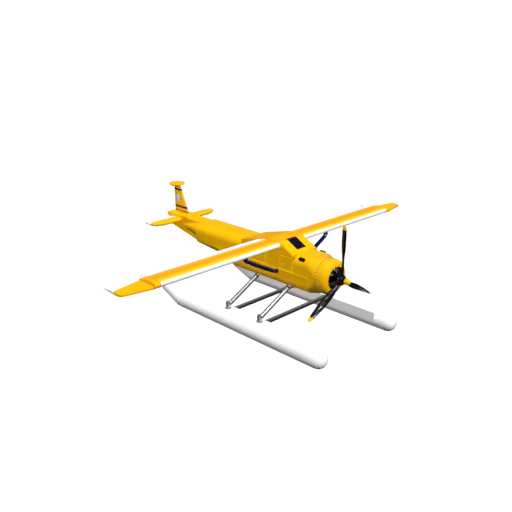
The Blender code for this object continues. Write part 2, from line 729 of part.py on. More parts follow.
def make_aileron(side, sign):
    """The white aft part of the tip; its hinge line runs forward toward the tip."""
    radius = AILERON_R
    mid_z = 0.5 * (TIP_BOTTOM_Z + TIP_TOP_Z)
    inner_x = RIB_X + CONTROL_GAP
    axis_in = Vector((sign * inner_x, aileron_line(inner_x) + radius, mid_z))
    axis_out = Vector((sign * SEMI_SPAN, aileron_line(SEMI_SPAN) + radius, mid_z))
    along = (axis_out - axis_in).normalized()
    skew = abs(along.x)
    hinge = pivot("aileron_hinge_" + side, axis_in)
    rings = []
    for x, te in AILERON_AFT:
        centre_y = aileron_line(x) + radius
        ring = [(sign * x, centre_y + radius * cos(radians(a)) / skew, mid_z + radius * sin(radians(a)))
                for a in BARREL]
        ring += [(sign * x, te, mid_z - 0.012), (sign * x, te, mid_z + 0.004)]
        rings.append(ring)
    aileron = smooth(add_object("aileron_" + side, loft(rings), "white", axis_in, hinge))
    start = axis_in - along * (CONTROL_GAP - 9 * SEAT_GAP) / skew
    pin = tube([start, axis_in + along * 0.03], (0.012, 0.012), sides=8)
    boolean(aileron, pin, "UNION")


def plate_from_outline(outline, bottom, top, edge):
    """A flat plate over an (x, y) outline, its upper and lower rims drawn in by `edge`."""
    centre_x = sum(p[0] for p in outline) / len(outline)
    centre_y = sum(p[1] for p in outline) / len(outline)
    width = max(abs(p[0] - centre_x) for p in outline)
    depth = max(abs(p[1] - centre_y) for p in outline)
    rings = []
    for z, inset in ((bottom, edge), (bottom + edge, 0.0), (top - edge, 0.0), (top, edge)):
        rings.append([(centre_x + (x - centre_x) * (1 - inset / width),
                       centre_y + (y - centre_y) * (1 - inset / depth), z) for x, y in outline])
    return loft(rings)


def make_wing_strut(side, sign):
    """From the wing straight down to an elbow, then in to a stub on the cabin side."""
    x, y = sign * WING_STRUT_TOP[0], WING_STRUT_TOP[1]
    out, foot_y, foot_z = WING_STRUT_FOOT
    foot = Vector((sign * (BODY_HALF + out), foot_y, foot_z))
    top = Vector((x, y, WING_BOTTOM_Z - SEAT_GAP))
    elbow = Vector((x, y, WING_STRUT_ELBOW_Z))
    inward = (foot - elbow).normalized()
    path = [top, top + Vector((0, 0, -0.10)), elbow + Vector((0, 0, 0.03)),
            elbow + inward * 0.07, foot - inward * 0.06, foot]
    strut = smooth(add_object("wing_strut_" + side, tube(path, WING_STRUT_RADII), "navy"))
    root = [(sign * (BODY_HALF + reach), foot.y, foot.z) for reach in (SEAT_GAP, 0.09)]
    boolean(strut, tube(root, (0.05, 0.05), sides=10), "UNION")


def make_rear_fuselage():
    low = BODY_BOTTOM
    rings = []
    table = (
        # y, bottom, lower corner radius
        (CABIN_AFT_Y + SEAT_GAP, low, 0.30),
        (BELLY_RISE_Y, low, 0.30),
        (BELLY_STEP_Y - 0.02, 1.98, 0.14),
        (BELLY_STEP_Y, 2.04, 0.30),
        (FULL_WIDTH_AFT_Y, 2.165, 0.30),
    )
    for y, bottom, corner in table:
        rings.append(body_ring(y, BODY_HALF, bottom, BODY_TOP, corner, SHOULDER))
    smooth(add_object("rear_fuselage", loft(rings), "yellow"))

    tail = [(FULL_WIDTH_AFT_Y + SEAT_GAP, 2.12), (TAIL_END_Y, 2.565),
            (TAIL_END_Y, FIN_BASE_LOW), (BASE_FRONT_Y - SEAT_GAP, FIN_BASE_LOW),
            (BASE_FRONT_Y - SEAT_GAP, 3.0), (FULL_WIDTH_AFT_Y + SEAT_GAP, 3.01)]
    cone = add_object("tail_cone", prism_x(tail, -TAIL_HALF, TAIL_HALF), "yellow")
    for sign in SIDES.values():
        boolean(cone, shoulder_fairing(sign), "UNION")
    smooth(cone, 30)


def shoulder_fairing(sign):
    """The rounded shoulder runs out aft to a point on the tail cone's side."""
    y = FULL_WIDTH_AFT_Y + SEAT_GAP
    centre_z = BODY_TOP - SHOULDER
    inner = TAIL_HALF - 0.02
    arc_points = [(sign * (BODY_HALF - SHOULDER + SHOULDER * cos(radians(a))),
                   centre_z + SHOULDER * sin(radians(a)) - 0.001) for a in (0, 18, 36, 54, 72)]
    ring = [(sign * inner, centre_z - 0.16)] + [(sign * BODY_HALF, centre_z - 0.16)]
    ring += arc_points + [(sign * inner, centre_z + SHOULDER * 0.95)]
    apex = Vector((sign * (inner + 0.004), 4.17, centre_z))
    tip = []
    for x, z in ring:
        tip.append(apex + Vector((sign * (abs(x) - inner) * 0.02, 0.0, (z - centre_z) * 0.02)))
    rings = [[(x, y, z) for x, z in ring], tip]
    return loft(rings)


def make_tail():
    add_object("fin_base", tail_block(), "yellow")
    mid = 0.5 * FIN_THICK
    low_z = FIN_BASE_TOP + SEAT_GAP
    fin_rings = []
    for z, le in ((low_z, FIN_FRONT[0]), (FIN_TOP, FIN_FRONT[1])):
        aft = RUDDER_Y - CONTROL_GAP
        fin_rings.append([(0.0, le, z), (mid * 0.7, le + 0.035, z), (mid, le + 0.09, z), (mid, aft, z),
                          (-mid, aft, z), (-mid, le + 0.09, z), (-mid * 0.7, le + 0.035, z)])
    smooth(add_object("fin", loft(fin_rings), "yellow"), 40)
    make_rudder(mid)
    cap = []
    for rise, smaller in CAP_ROWS:
        radius = CAP_R - smaller
        cap.append([(radius * cos(2 * pi * i / 24), CAP_Y + radius * sin(2 * pi * i / 24),
                     FIN_TOP + rise) for i in range(24)])
    smooth(add_object("fin_cap", loft(cap), "yellow"), 50)
    for side, sign in SIDES.items():
        make_tailplane(side, sign)


def tail_block():
    corner = 0.025
    aft = HALF_LENGTH
    outline = [(-TAIL_HALF, BASE_FRONT_Y), (TAIL_HALF, BASE_FRONT_Y), (TAIL_HALF, aft - corner),
               (TAIL_HALF - corner, aft), (-TAIL_HALF + corner, aft), (-TAIL_HALF, aft - corner)]
    rings = [[(x, y, z) for x, y in outline] for z in (FIN_BASE_LOW + SEAT_GAP, FIN_BASE_TOP)]
    return loft(rings)


def make_rudder(mid):
    origin = (0.0, RUDDER_Y + mid, FIN_BASE_TOP)
    hinge = pivot("rudder_hinge", origin)
    rings = []
    for z, te in ((FIN_BASE_TOP + CONTROL_GAP, RUDDER_AFT[0]), (FIN_TOP - CONTROL_GAP, RUDDER_AFT[1])):
        ring = [(mid * sin(radians(a)), origin[1] - mid * cos(radians(a)), z)
                for a in (-90, -60, -30, 0, 30, 60, 90)]
        ring += [(0.012, te, z), (-0.012, te, z)]
        rings.append(ring)
    rudder = smooth(add_object("rudder", loft(rings), "yellow", origin, hinge), 40)
    for z0, z1 in ((FIN_BASE_TOP + SEAT_GAP, FIN_BASE_TOP + 0.04), (FIN_TOP - 0.04, FIN_TOP)):
        pin = tube([(0, origin[1], z0), (0, origin[1], z1)], (0.02, 0.02), sides=8)
        boolean(rudder, pin, "UNION")


def make_tailplane(side, sign):
    half = 0.5 * TAIL_THICK
    nose = TAILPLANE_NOSE_R
    aft = ELEVATOR_Y - CONTROL_GAP
    rings = []
    for station, behind, share in TAILPLANE_ROWS:
        x = sign * station
        le = TAIL_LE_Y + behind
        high = half * share
        ring = []
        for a in (-90, -120, -150, -180, -210, -240, -270):
            ring.append((x, le + nose + nose * cos(radians(a)), TAIL_Z + high * sin(radians(a))))
        ring.append((x, aft, TAIL_Z + high))
        ring.append((x, aft, TAIL_Z - high))
        rings.append(ring)
    smooth(add_object("tailplane_" + side, loft(rings), "yellow"), 40)

    radius = ELEVATOR_R
    origin = (sign * TAIL_HALF, ELEVATOR_Y + radius, TAIL_Z)
    hinge = pivot("elevator_hinge_" + side, origin)
    rings = []
    for station, ahead in ELEVATOR_ROWS:
        x = sign * station
        te = TAIL_TE_Y - ahead
        ring = [(x, origin[1] + radius * cos(radians(a)), TAIL_Z + radius * sin(radians(a)))
                for a in BARREL]
        ring += [(x, te, TAIL_Z - 0.008), (x, te, TAIL_Z + 0.008)]
        rings.append(ring)
    elevator = smooth(add_object("elevator_" + side, loft(rings), "white", origin, hinge), 40)
    pin = tube([(sign * (TAIL_HALF + SEAT_GAP), origin[1], TAIL_Z),
                (sign * (TAIL_HALF + 0.05), origin[1], TAIL_Z)], (0.02, 0.02), sides=8)
    boolean(elevator, pin, "UNION")


def float_ring(y, sign, centre_z, radii, squared):
    """A float section, round outside and below; behind the nose its inner top is a square deck."""
    ring = []
    for index in range(FLOAT_SIDES):
        angle = 2.0 * pi * (index + 0.5) / FLOAT_SIDES
        out, rise = cos(angle), sin(angle)
        z = centre_z + radii[1] * rise
        inner_top = index - FLOAT_SIDES // 4
        if squared and 0 <= inner_top < len(DECK_SHOULDER):
            out, rise = DECK_SHOULDER[inner_top]
            z = centre_z + (squared - centre_z) * rise
        ring.append((sign * (FLOAT_X + radii[0] * out), y, z))
    return ring


def make_floats():
    for side, sign in SIDES.items():
        rings = []
        nose_centre = FLOAT_NOSE_Y + FLOAT_R
        for angle in (8, 25, 45, 67):
            radius = FLOAT_R * sin(radians(angle))
            y = max(nose_centre - FLOAT_R * cos(radians(angle)), -HALF_LENGTH)
            rings.append(float_ring(y, sign, FLOAT_Z, (radius, radius), None))
        full = (FLOAT_R, FLOAT_R)
        rings.append(float_ring(nose_centre, sign, FLOAT_Z, full, None))
        rings.append(float_ring(DECK_FRONT_Y, sign, FLOAT_Z, full, None))
        rings.append(float_ring(DECK_FRONT_Y + 0.03, sign, FLOAT_Z, full, DECK_Z))
        rings.append(float_ring(FLOAT_TAPER_Y, sign, FLOAT_Z, full, DECK_Z))
        rings.append(float_ring(FLOAT_STERN_Y, sign, 0.50, (0.07, 0.16), 0.66))
        smooth(add_object("float_" + side, loft(rings), "white"), 40)
        for station, y in STRUT_STATIONS.items():
            make_float_strut(station, y, side, sign)


def make_float_strut(station, y, side, sign):
    """An upright foot on the deck, a sloping tube from it, and the fitting under the belly."""
    up = Vector((0, 0, 1))
    foot = Vector((sign * STRUT_FOOT_X, y, DECK_Z + SEAT_GAP))
    post = [foot + up * rise for rise, radius in STRUT_POST]
    name = "float_strut_%s_%s" % (station, side)
    strut = add_object(name, tube(post, [radius for rise, radius in STRUT_POST], sides=14), "steel")
    start = Vector((sign * STRUT_FOOT_X, y, STRUT_START_Z))
    head = Vector((sign * STRUT_HEAD[0], y, STRUT_HEAD[1]))
    inward = (head - start).normalized()
    bend = Vector((sign * STRUT_TOP[0], y, STRUT_TOP[1]))
    leg = [start + inward * 0.03, head, bend, Vector((bend.x, y, BODY_BOTTOM - SEAT_GAP))]
    boolean(strut, tube(leg, (STRUT_R, STRUT_R, STRUT_R, STRUT_R), sides=14), "UNION")
    smooth(strut, 40)


def make_bars():
    reach = FLOAT_X - FLOAT_R - SEAT_GAP
    edge = BAR_EDGE
    low, high = BAR_Z
    for station, y in BAR_STATIONS.items():
        front, aft = y - BAR_HALF_WIDTH, y + BAR_HALF_WIDTH
        section = [(front + edge, low), (aft - edge, low), (aft, low + edge), (aft, high - edge),
                   (aft - edge, high), (front + edge, high), (front, high - edge), (front, low + edge)]
        add_object("spreader_bar_" + station, prism_x(section, -reach, reach), "black")


def main():
    clear_scene()
    make_cabin()
    make_nose()
    make_engine()
    make_propeller()
    make_wings()
    make_rear_fuselage()
    make_tail()
    make_floats()
    make_bars()
    bpy.context.view_layer.update()


main()
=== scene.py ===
"""Looks for the floatplane: paint, glass, metal, fabric, trim, engine detail and stage.

Every length is in metres in the part's own frame: nose toward -Y, left wing toward +X, +Z up.
"""
from math import atan2, cos, pi, radians, sin

import bmesh
import bpy
from mathutils.bvhtree import BVHTree
from mathutils import Matrix, Vector


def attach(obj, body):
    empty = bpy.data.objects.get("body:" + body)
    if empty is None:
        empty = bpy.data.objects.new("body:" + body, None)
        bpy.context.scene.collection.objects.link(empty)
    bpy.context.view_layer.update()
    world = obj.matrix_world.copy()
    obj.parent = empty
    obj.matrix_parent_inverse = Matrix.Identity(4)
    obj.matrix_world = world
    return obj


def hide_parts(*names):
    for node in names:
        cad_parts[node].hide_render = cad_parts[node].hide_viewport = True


SIDES = {"L": 1.0, "R": -1.0}

# Places taken over from the solids
BODY_HALF = 0.663
BELLY_Z = 1.72
FLOOR_Z = 2.02
SHAFT = Vector((0.0, -4.251, 2.386))
PROP_R = 2.005
HUB_HALF = 0.065
CYLINDERS = 9
CYLINDER_Y = -3.60
COWL_SEAM_Y = -3.556
COWL_R = 0.662
DECK_Z = 0.690
FLOAT_X = 2.010
FLOAT_R = 0.339
FLOAT_AXIS_Z = 0.336
STRUT_FOOT_X = 1.89
STRUT_HEAD = (0.33, 1.60)
STRUT_Y = {"front": -2.06, "rear": -0.385}
BAR_Y = {"front": -2.18, "rear": -0.52}
TIP_X = 6.24
WING_BAND = (-1.86, -1.13)
# Painted light and shade across the wing's curved top: from station, to station, tint
WING_SHADING_TINTS = ((-1.85, -1.76, (0.95, 0.60, 0.03)), (-1.80, -1.60, (0.95, 0.43, 0.001)),
              (-1.62, -1.48, (0.95, 0.385, 0.001)), (-1.44, -1.26, (0.95, 0.46, 0.012)),
              (-1.26, -1.14, (0.95, 0.52, 0.045)))
FIN_STRIPES = ((4.08, 0.044), (3.33, 0.042), (4.19, 0.014), (3.15, 0.020))
STAR = (4.79, 3.71, 0.245)
SCREEN_LINE = ((-2.536, 3.016), (-1.862, 3.376), (-1.70, 3.376))
SCREEN_CUT = (-2.354, -1.765, 0.25)
DOOR_WINDOW = (-0.90, -0.42, 2.70, 2.97)
CREW_DOOR = (-1.875, 2.37)       # aft edge, sill
CABIN_DOOR = (-0.185, 2.37)

YELLOW = ((0.95, 0.500, 0.0015), (0.93, 0.485, 0.0015))
# Lighter yellow of the panel seams: a painted highlight of their edges catching the light
SEAM_HIGHLIGHT_YELLOW = (1.0, 0.63, 0.004)
EDGE_ORANGE = (0.90, 0.26, 0.001)
SHADE_BROWN = (0.24, 0.115, 0.001)
# Orange cast over the cabin roof: painted shade
ORANGE = (0.95, 0.385, 0.001)
WHITE = ((0.95, 0.95, 0.955), (0.92, 0.92, 0.93))
NAVY = (0.001, 0.004, 0.045)
SILVER = (0.56, 0.66, 0.86)
# Near-black for inner and downward faces: a dark lining that is also painted shade
LINING_SHADE = (0.010, 0.003, 0.006)
REVEAL = (0.22, 0.004, 0.05)
STRIPE = (0.001, 0.022, 0.10)
SEAL_R = 0.017
SEAL_DROP = -0.012
RIVET_RISE = 0.001
LAP = (0.016, 0.010, 0.30)       # half-width, rise and run-out of a lapped panel edge
GROOVE = 0.002

# Seats and their cushions
CUSHION_TOP_Z = 2.42
BASE_DEPTH = 0.43
BASE_THICK = 0.11
BACK_THICK = 0.085
BACK_LEAN = 0.10                 # how far the back's head lies behind its foot
LEG_INSET = 0.04
LEG_STATIONS = (0.09, 0.42)      # behind the seat's front edge
FRAME_R = 0.013
SEAM_LEVEL = 0.15                # piping's height over the middle, as a share of the thickness
PIPING_R = 0.005
CUSHION_VOXEL = 0.008
CUSHION_PRESSURE = 4.0
CUSHION_FRAMES = 20
CUSHION_CAP = 0.012
START_SHARE = 0.7                # share of the cap that each form starts inside its size
CHANNEL_DEPTH = 0.007
CHANNEL_HALF = 0.022
PIPING_STEPS = 72
SEAT_ROWS = (
    # node, right side, left side, front edge, top of the back
    ("crew_seat_L", 0.08, 0.52, -1.78, 2.92),
    ("crew_seat_R", -0.52, -0.08, -1.78, 2.92),
    ("cabin_bench", -0.52, 0.52, -0.62, 2.86),
)

# Engine, propeller and cowl
FINS_A_CYLINDER = 9
FIRST_FIN_R = 0.262              # from the shaft to the lowest cooling fin
FIN_PITCH = 0.03
HEAD_FINS = 6                    # fins from this one up are the wider ones of the head
CASE_BOLTS = 12
CASE_BOLT_R = 0.225
BAFFLE_Y = -3.44
HUB_BOLTS = 9
HUB_BOLT_R = 0.142
SPINNER_SCREWS = 6
SPINNER_SCREW_R = 0.1025
BLADE_ANGLES = (90.0, 210.0, 330.0)
CLAMP_R = 0.176                  # from the shaft to a clamp's foot
COWL_MOUTH = (-3.972, 0.430)     # station, radius
TOGGLES = 16
RING_Y = -3.80
RING_R = 0.245
EXHAUST_ROWS = (-2.94, -2.82)

# Cockpit
DIAL_COLUMNS = range(-4, 5)
DIAL_PITCH = 0.115
DIAL_LEVELS = (2.70, 2.82)
YOKE_X = (-0.30, 0.30)
YOKE_Y = -2.165
YOKE_Z = 2.70
PEDAL_OFFSETS = (-0.09, 0.09)

# Struts, floats and tail
PLATE_BOLTS = 6
PLATE_BOLT_R = 0.110
CABIN_STRUT_END = (-1.735, 2.235)        # station, height
WING_STRUT_END = (2.19, -1.679, 3.1485)  # on the left
SOCKET_X = 0.265
HATCH_X = 1.80
HATCH_ROWS = (-3.90, -2.90, -1.25, 0.60, 1.70)
CLEAT_X = 1.74
CLEAT_ROWS = (-4.20, -3.30, 1.20)
CLEAT_HORN = (-0.10, -0.06, 0.0, 0.06, 0.10)
DECK_BEAD = (-4.52, 2.24)                # front and aft ends
RUDDER_POST_Y = 4.845
KNUCKLE_LEVELS = (3.35, 3.68, 4.0)
TAIL_LAMP_FOOT = (0.0, 5.262, 2.965)

# Profiles of turned parts: (distance along, radius)
ROCKER_CAP = ((0.0, 0.024), (0.01, 0.028), (0.045, 0.028), (0.055, 0.018))
CASE_BOLT = ((0.0, 0.012), (0.035, 0.012), (0.040, 0.008))
BLADE_CLAMP = ((0.0, 0.050), (0.0, 0.058), (0.006, 0.062), (0.040, 0.062), (0.046, 0.056),
               (0.046, 0.035))
HUB_BOLT = ((0.0, 0.010), (0.010, 0.010), (0.013, 0.007))
SPINNER_SCREW = ((0.0, 0.008), (0.003, 0.008), (0.005, 0.005))
SHAFT_COLLAR = ((0.0, 0.104), (0.03, 0.110), (0.055, 0.110), (0.07, 0.100))
TOGGLE = ((0.0, 0.012), (0.006, 0.012), (0.008, 0.009))
PIPE_LIP = ((0.0, 0.060), (0.0, 0.074), (0.010, 0.076), (0.016, 0.072), (0.016, 0.060),
            (0.004, 0.056))
HANDLE_FOOT = ((0.0, 0.016), (0.006, 0.016), (0.010, 0.008), (0.024, 0.008))
GASKET_CORNER = ((0.0, 0.004), (0.003, 0.008), (0.009, 0.009), (0.015, 0.008), (0.018, 0.004))
SEAT_FOOT = ((0.0, 0.030), (0.006, 0.030), (0.008, 0.014))
DIAL_FACE = ((0.0, 0.040), (0.004, 0.040))
BEZEL = ((0.0, 0.046), (0.010, 0.046), (0.012, 0.043), (0.012, 0.040), (0.004, 0.040))
STRUT_PLATE = ((0.0, 0.125), (0.008, 0.125), (0.012, 0.118), (0.012, 0.094))
PLATE_BOLT = ((0.0, 0.009), (0.012, 0.009), (0.015, 0.006))
STRUT_COLLAR = ((0.0, 0.084), (0.004, 0.091), (0.060, 0.091), (0.064, 0.084))
CABIN_FITTING = ((0.0, 0.085), (0.010, 0.085), (0.016, 0.070), (0.016, 0.040))
WING_FITTING = ((0.0, 0.105), (0.010, 0.105), (0.016, 0.092), (0.040, 0.086))
HATCH = ((0.0, 0.075), (0.006, 0.075), (0.010, 0.068), (0.010, 0.030), (0.014, 0.026),
         (0.014, 0.001))
CLEAT_POST = ((0.0, 0.014), (0.004, 0.012), (0.030, 0.010))
TAIL_LAMP = ((0.0, 0.022), (0.006, 0.022), (0.012, 0.016), (0.015, 0.006))

# Stage
FLOOR_SWEEP = (
    # height, reach
    (0.0, 0.01), (0.0, 60.0), (0.0, 90.0), (4.0, 110.0), (16.0, 124.0), (45.0, 130.0),
    (130.0, 131.0),
)
LAMPS = (
    # name, direction toward the lamp, strength, width in degrees, seen in gloss
    ("key", (-0.20, -0.61, 0.77), 4.0, 24.0, True),
    ("side", (-0.40, 0.90, 0.10), 1.5, 30.0, False),
    ("top", (0.19, 0.06, 0.98), 0.35, 3.0, True),
)
# Camera fitted to the photo
CAMERA_PLACE = (-16.697, -16.877, 10.713)
CAMERA_DOWN = 19.712             # degrees below level
CAMERA_TURN = -44.645
CAMERA_ANGLE = 43.67

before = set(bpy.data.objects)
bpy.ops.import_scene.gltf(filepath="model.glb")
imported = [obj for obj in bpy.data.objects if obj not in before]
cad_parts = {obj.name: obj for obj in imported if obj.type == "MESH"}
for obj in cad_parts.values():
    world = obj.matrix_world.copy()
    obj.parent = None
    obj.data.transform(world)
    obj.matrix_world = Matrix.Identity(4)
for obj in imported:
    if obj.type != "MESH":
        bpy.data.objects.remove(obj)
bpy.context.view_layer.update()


def spoke(turn):
    """Unit vector square to the shaft at an angle about it."""
    return Vector((cos(turn), 0.0, sin(turn)))


def washer(thick, inner, outer):
    """Profile of a flat ring."""
    return (0.0, inner), (0.0, outer), (thick, outer), (thick, inner)


class Shade:
    """One procedural material. x, y and z are the part's own metres at rest."""

    def __init__(self, name, metal=0.0, coat=0.0, specular=0.5):
        self.material = bpy.data.materials.new(name)
        self.material.use_nodes = True
        tree = self.material.node_tree
        self.nodes, self.links = tree.nodes, tree.links
        self.shader = self.nodes["Principled BSDF"]
        self.shader.inputs["Metallic"].default_value = metal
        self.shader.inputs["Coat Weight"].default_value = coat
        self.shader.inputs["Coat Roughness"].default_value = 0.06
        self.shader.inputs["Specular IOR Level"].default_value = specular
        coords = self.node("ShaderNodeTexCoord")
        self.place = coords.outputs["Object"]
        self.normal = coords.outputs["Normal"]
        self.x, self.y, self.z = self.split(self.place)

    def node(self, kind, **settings):
        made = self.nodes.new(kind)
        for key, value in settings.items():
            setattr(made, key, value)
        return made

    def feed(self, socket, value):
        if isinstance(value, bpy.types.NodeSocket):
            self.links.new(value, socket)
        elif isinstance(value, tuple) and len(value) == 3 and socket.type == "RGBA":
            socket.default_value = (*value, 1.0)
        else:
            socket.default_value = value

    def split(self, vector):
        parts = self.node("ShaderNodeSeparateXYZ")
        self.feed(parts.inputs[0], vector)
        return parts.outputs

    def math(self, operation, *values):
        made = self.node("ShaderNodeMath", operation=operation)
        for socket, value in zip(made.inputs, values):
            self.feed(socket, value)
        return made.outputs[0]

    def times(self, first, second):
        return self.math("MULTIPLY", first, second)

    def plus(self, first, second):
        return self.math("ADD", first, second)

    def minus(self, first, second):
        return self.math("SUBTRACT", first, second)

    def size(self, value):
        return self.math("ABSOLUTE", value)

    def reach(self, first, second):
        """Length of a vector with these two parts."""
        square = self.math("POWER", first, 2.0)
        return self.math("SQRT", self.plus(square, self.math("POWER", second, 2.0)))

    def fade(self, value, start, stop, high=1.0, low=0.0):
        """From high at `start` to low at `stop`, held beyond both."""
        made = self.node("ShaderNodeMapRange", interpolation_type="SMOOTHSTEP")
        for key, item in (("Value", value), ("From Min", start), ("From Max", stop),
                          ("To Min", high), ("To Max", low)):
            self.feed(made.inputs[key], item)
        return made.outputs[0]

    def line(self, value, centre, half, soft=0.003):
        away = self.math("ABSOLUTE", self.math("SUBTRACT", value, centre))
        return self.fade(away, half, half + soft)

    def lines(self, value, centres, half, soft=0.003):
        found = None
        for centre in centres:
            one = self.line(value, centre, half, soft)
            found = one if found is None else self.math("MAXIMUM", found, one)
        return found

    def every(self, value, step, half, soft=0.003):
        """Lines at each whole multiple of `step`."""
        away = self.math("PINGPONG", value, step * 0.5)
        return self.fade(away, half, half + soft)

    def noise(self, scale, detail=3.0, stretch=(1.0, 1.0, 1.0)):
        mapping = self.node("ShaderNodeMapping")
        self.feed(mapping.inputs["Vector"], self.place)
        mapping.inputs["Scale"].default_value = stretch
        made = self.node("ShaderNodeTexNoise")
        self.feed(made.inputs["Vector"], mapping.outputs[0])
        made.inputs["Scale"].default_value = scale
        made.inputs["Detail"].default_value = detail
        return made.outputs["Fac"]

    def blend(self, share, under, over):
        made = self.node("ShaderNodeMix", data_type="RGBA")
        self.feed(made.inputs["Factor"], share)
        self.feed(made.inputs[6], under)
        self.feed(made.inputs[7], over)
        return made.outputs[2]

    def finish(self, colour, rough, height):
        """Links colour, roughness from a (smooth, rough) pair and relief in metres."""
        self.feed(self.shader.inputs["Base Color"], colour)
        self.feed(self.shader.inputs["Roughness"], self.fade(self.noise(7.0), 0.35, 0.65, *rough))
        bump = self.node("ShaderNodeBump")
        bump.inputs["Strength"].default_value = 1.0
        bump.inputs["Distance"].default_value = 1.0
        self.feed(bump.inputs["Height"], height)
        self.feed(self.shader.inputs["Normal"], bump.outputs[0])
        return self.material


def enamel(name, tones, marks=None, rough=(0.34, 0.44), coat=0.12, specular=0.08):
    """Gloss paint: slow drift between two tones, a fine peel, and the marks of one piece."""
    shade = Shade(name, coat=coat, specular=specular)
    colour = shade.blend(shade.fade(shade.noise(0.9), 0.4, 0.6), *tones)
    height = shade.times(shade.noise(160.0, 1.0), 0.0001)
    if marks:
        colour, height = marks(shade, colour, height)
    return shade.finish(colour, rough, height)


def rivets(shade, height, across, along, rows, step=0.045):
    """Rows of small domes: `across` has the row's places, `along` runs down the row."""
    run = shade.math("PINGPONG", along, step * 0.5)
    for row in rows:
        away = shade.minus(across, row)
        reach = shade.reach(away, run)
        dome = shade.fade(reach, 0.002, 0.007, RIVET_RISE)
        height = shade.plus(height, dome)
    return height


def lap(shade, height, along, place, toward=1.0):
    """A lapped panel edge: a short rise that catches the light, then a long run-out."""
    half, rise, run = LAP
    step = shade.fade(along, place - toward * half, place + toward * half, 0.0, rise)
    back = shade.fade(along, place + toward * half, place + toward * run, 0.0, rise)
    return shade.plus(height, shade.minus(step, back))


def fuselage_marks(shade, colour, height):
    girth = shade.plus(shade.z, shade.size(shade.x))
    frames = (-3.229, -2.514, -1.149, 2.24)
    levels = (2.36, 3.02)
    for place in frames:
        height = lap(shade, height, shade.y, place)
    height = lap(shade, height, shade.z, levels[0], -1.0)
    rings = shade.lines(shade.y, frames, 0.012)
    side = shade.fade(shade.size(shade.x), 0.66, 0.60)
    stringers = shade.times(shade.lines(shade.z, levels, 0.010), side)
    seams = shade.math("MAXIMUM", rings, stringers)
    # Seams painted lighter as a painted highlight, strong on the sides and faint on the lit top
    strength = shade.fade(shade.z, 2.75, 2.95, 0.95, 0.3)
    colour = shade.blend(shade.times(seams, strength), colour, SEAM_HIGHLIGHT_YELLOW)
    # Darker brown low on the rear fuselage aft of the belly step: painted shade of the
    # downward-turned belly
    keel_shade = shade.times(shade.fade(shade.z, 2.30, 2.25, 0.0, 0.7),
                       shade.fade(shade.y, 1.56, 1.60, 0.0, 1.0))
    colour = shade.blend(keel_shade, colour, (0.40, 0.20, 0.001))
    over = shade.times(rings, shade.fade(shade.z, 2.96, 3.0, 0.0, 0.4))
    colour = shade.blend(over, colour, EDGE_ORANGE)
    height = rivets(shade, height, shade.y, girth, [y + 0.03 for y in frames])
    return colour, height


def cone_marks(shade, colour, height):
    """Tail cone: painted shade in the recess under each shoulder fairing."""
    colour, height = fuselage_marks(shade, colour, height)
    band = shade.times(shade.fade(shade.z, 2.665, 2.645, 0.0, 1.0),
                      shade.fade(shade.z, 2.50, 2.52, 0.0, 1.0))
    reach = shade.times(shade.fade(shade.y, 2.93, 2.96, 0.0, 1.0),
                       shade.fade(shade.y, 3.75, 4.05, 1.0, 0.0))
    return shade.blend(shade.times(band, reach), colour, SHADE_BROWN), height


def cabin_marks(shade, colour, height):
    """The cabin's outside is painted like the fuselage; every inner face has a dark lining, which
    is painted shade for the cabin's inside.
    """
    colour, height = fuselage_marks(shade, colour, height)
    inside = shade.fade(shade.size(shade.x), 0.640, 0.646)
    # Painted shade: inner faces near-black
    lined_shade = shade.times(inside, shade.fade(shade.z, BELLY_Z + 0.28, BELLY_Z + 0.29, 0.0, 1.0))
    return shade.blend(lined_shade, colour, LINING_SHADE), height


def roof_marks(shade, colour, height):
    """Skylight frame seams on top over an orange cast of painted shade; a maroon reveal round the
    windscreen; near-black painted shade on faces turned downward.
    """
    edge = shade.lines(shade.y, (-1.70, -1.30, -0.62), 0.012)
    sides = shade.lines(shade.size(shade.x), (0.47, BODY_HALF - 0.016), 0.012)
    seams = shade.math("MAXIMUM", edge, sides)
    # Orange cast over the whole roof: painted shade
    colour = shade.blend(0.35, colour, ORANGE)
    colour = shade.blend(shade.times(seams, 0.6), colour, EDGE_ORANGE)
    height = shade.minus(height, shade.times(seams, GROOVE))
    up = shade.split(shade.normal)[2]
    reveal = shade.times(shade.fade(up, 0.30, 0.45),
                        shade.fade(shade.size(shade.x), 0.30, 0.31))
    # Painted shade: faces turned downward near-black
    below_shade = shade.fade(up, -0.6, -0.5)
    colour = shade.blend(reveal, colour, REVEAL)
    return shade.blend(below_shade, colour, LINING_SHADE), height


def screen_marks(shade, colour, height):
    """Orange sealing line along the frame's lower edges; a maroon reveal round the pane."""
    up = shade.split(shade.normal)[2]
    edge = shade.line(shade.size(shade.x), BODY_HALF - 0.012, 0.014)
    foot = shade.line(shade.y, -2.525, 0.012)
    colour = shade.blend(shade.times(shade.math("MAXIMUM", edge, foot), 0.75), colour, EDGE_ORANGE)
    steep = shade.fade(up, 0.30, 0.45)
    near = shade.fade(shade.size(shade.x), 0.30, 0.31)
    colour = shade.blend(shade.times(steep, near), colour, REVEAL)
    # Painted shade: faces turned downward near-black
    return shade.blend(shade.fade(up, -0.6, -0.5), colour, LINING_SHADE), height


def nose_marks(shade, colour, height):
    colour, height = fuselage_marks(shade, colour, height)
    # The low seam painted lighter: a painted highlight of its edge
    low = shade.times(shade.line(shade.z, 2.02, 0.006), 0.5)
    return shade.blend(low, colour, SEAM_HIGHLIGHT_YELLOW), height


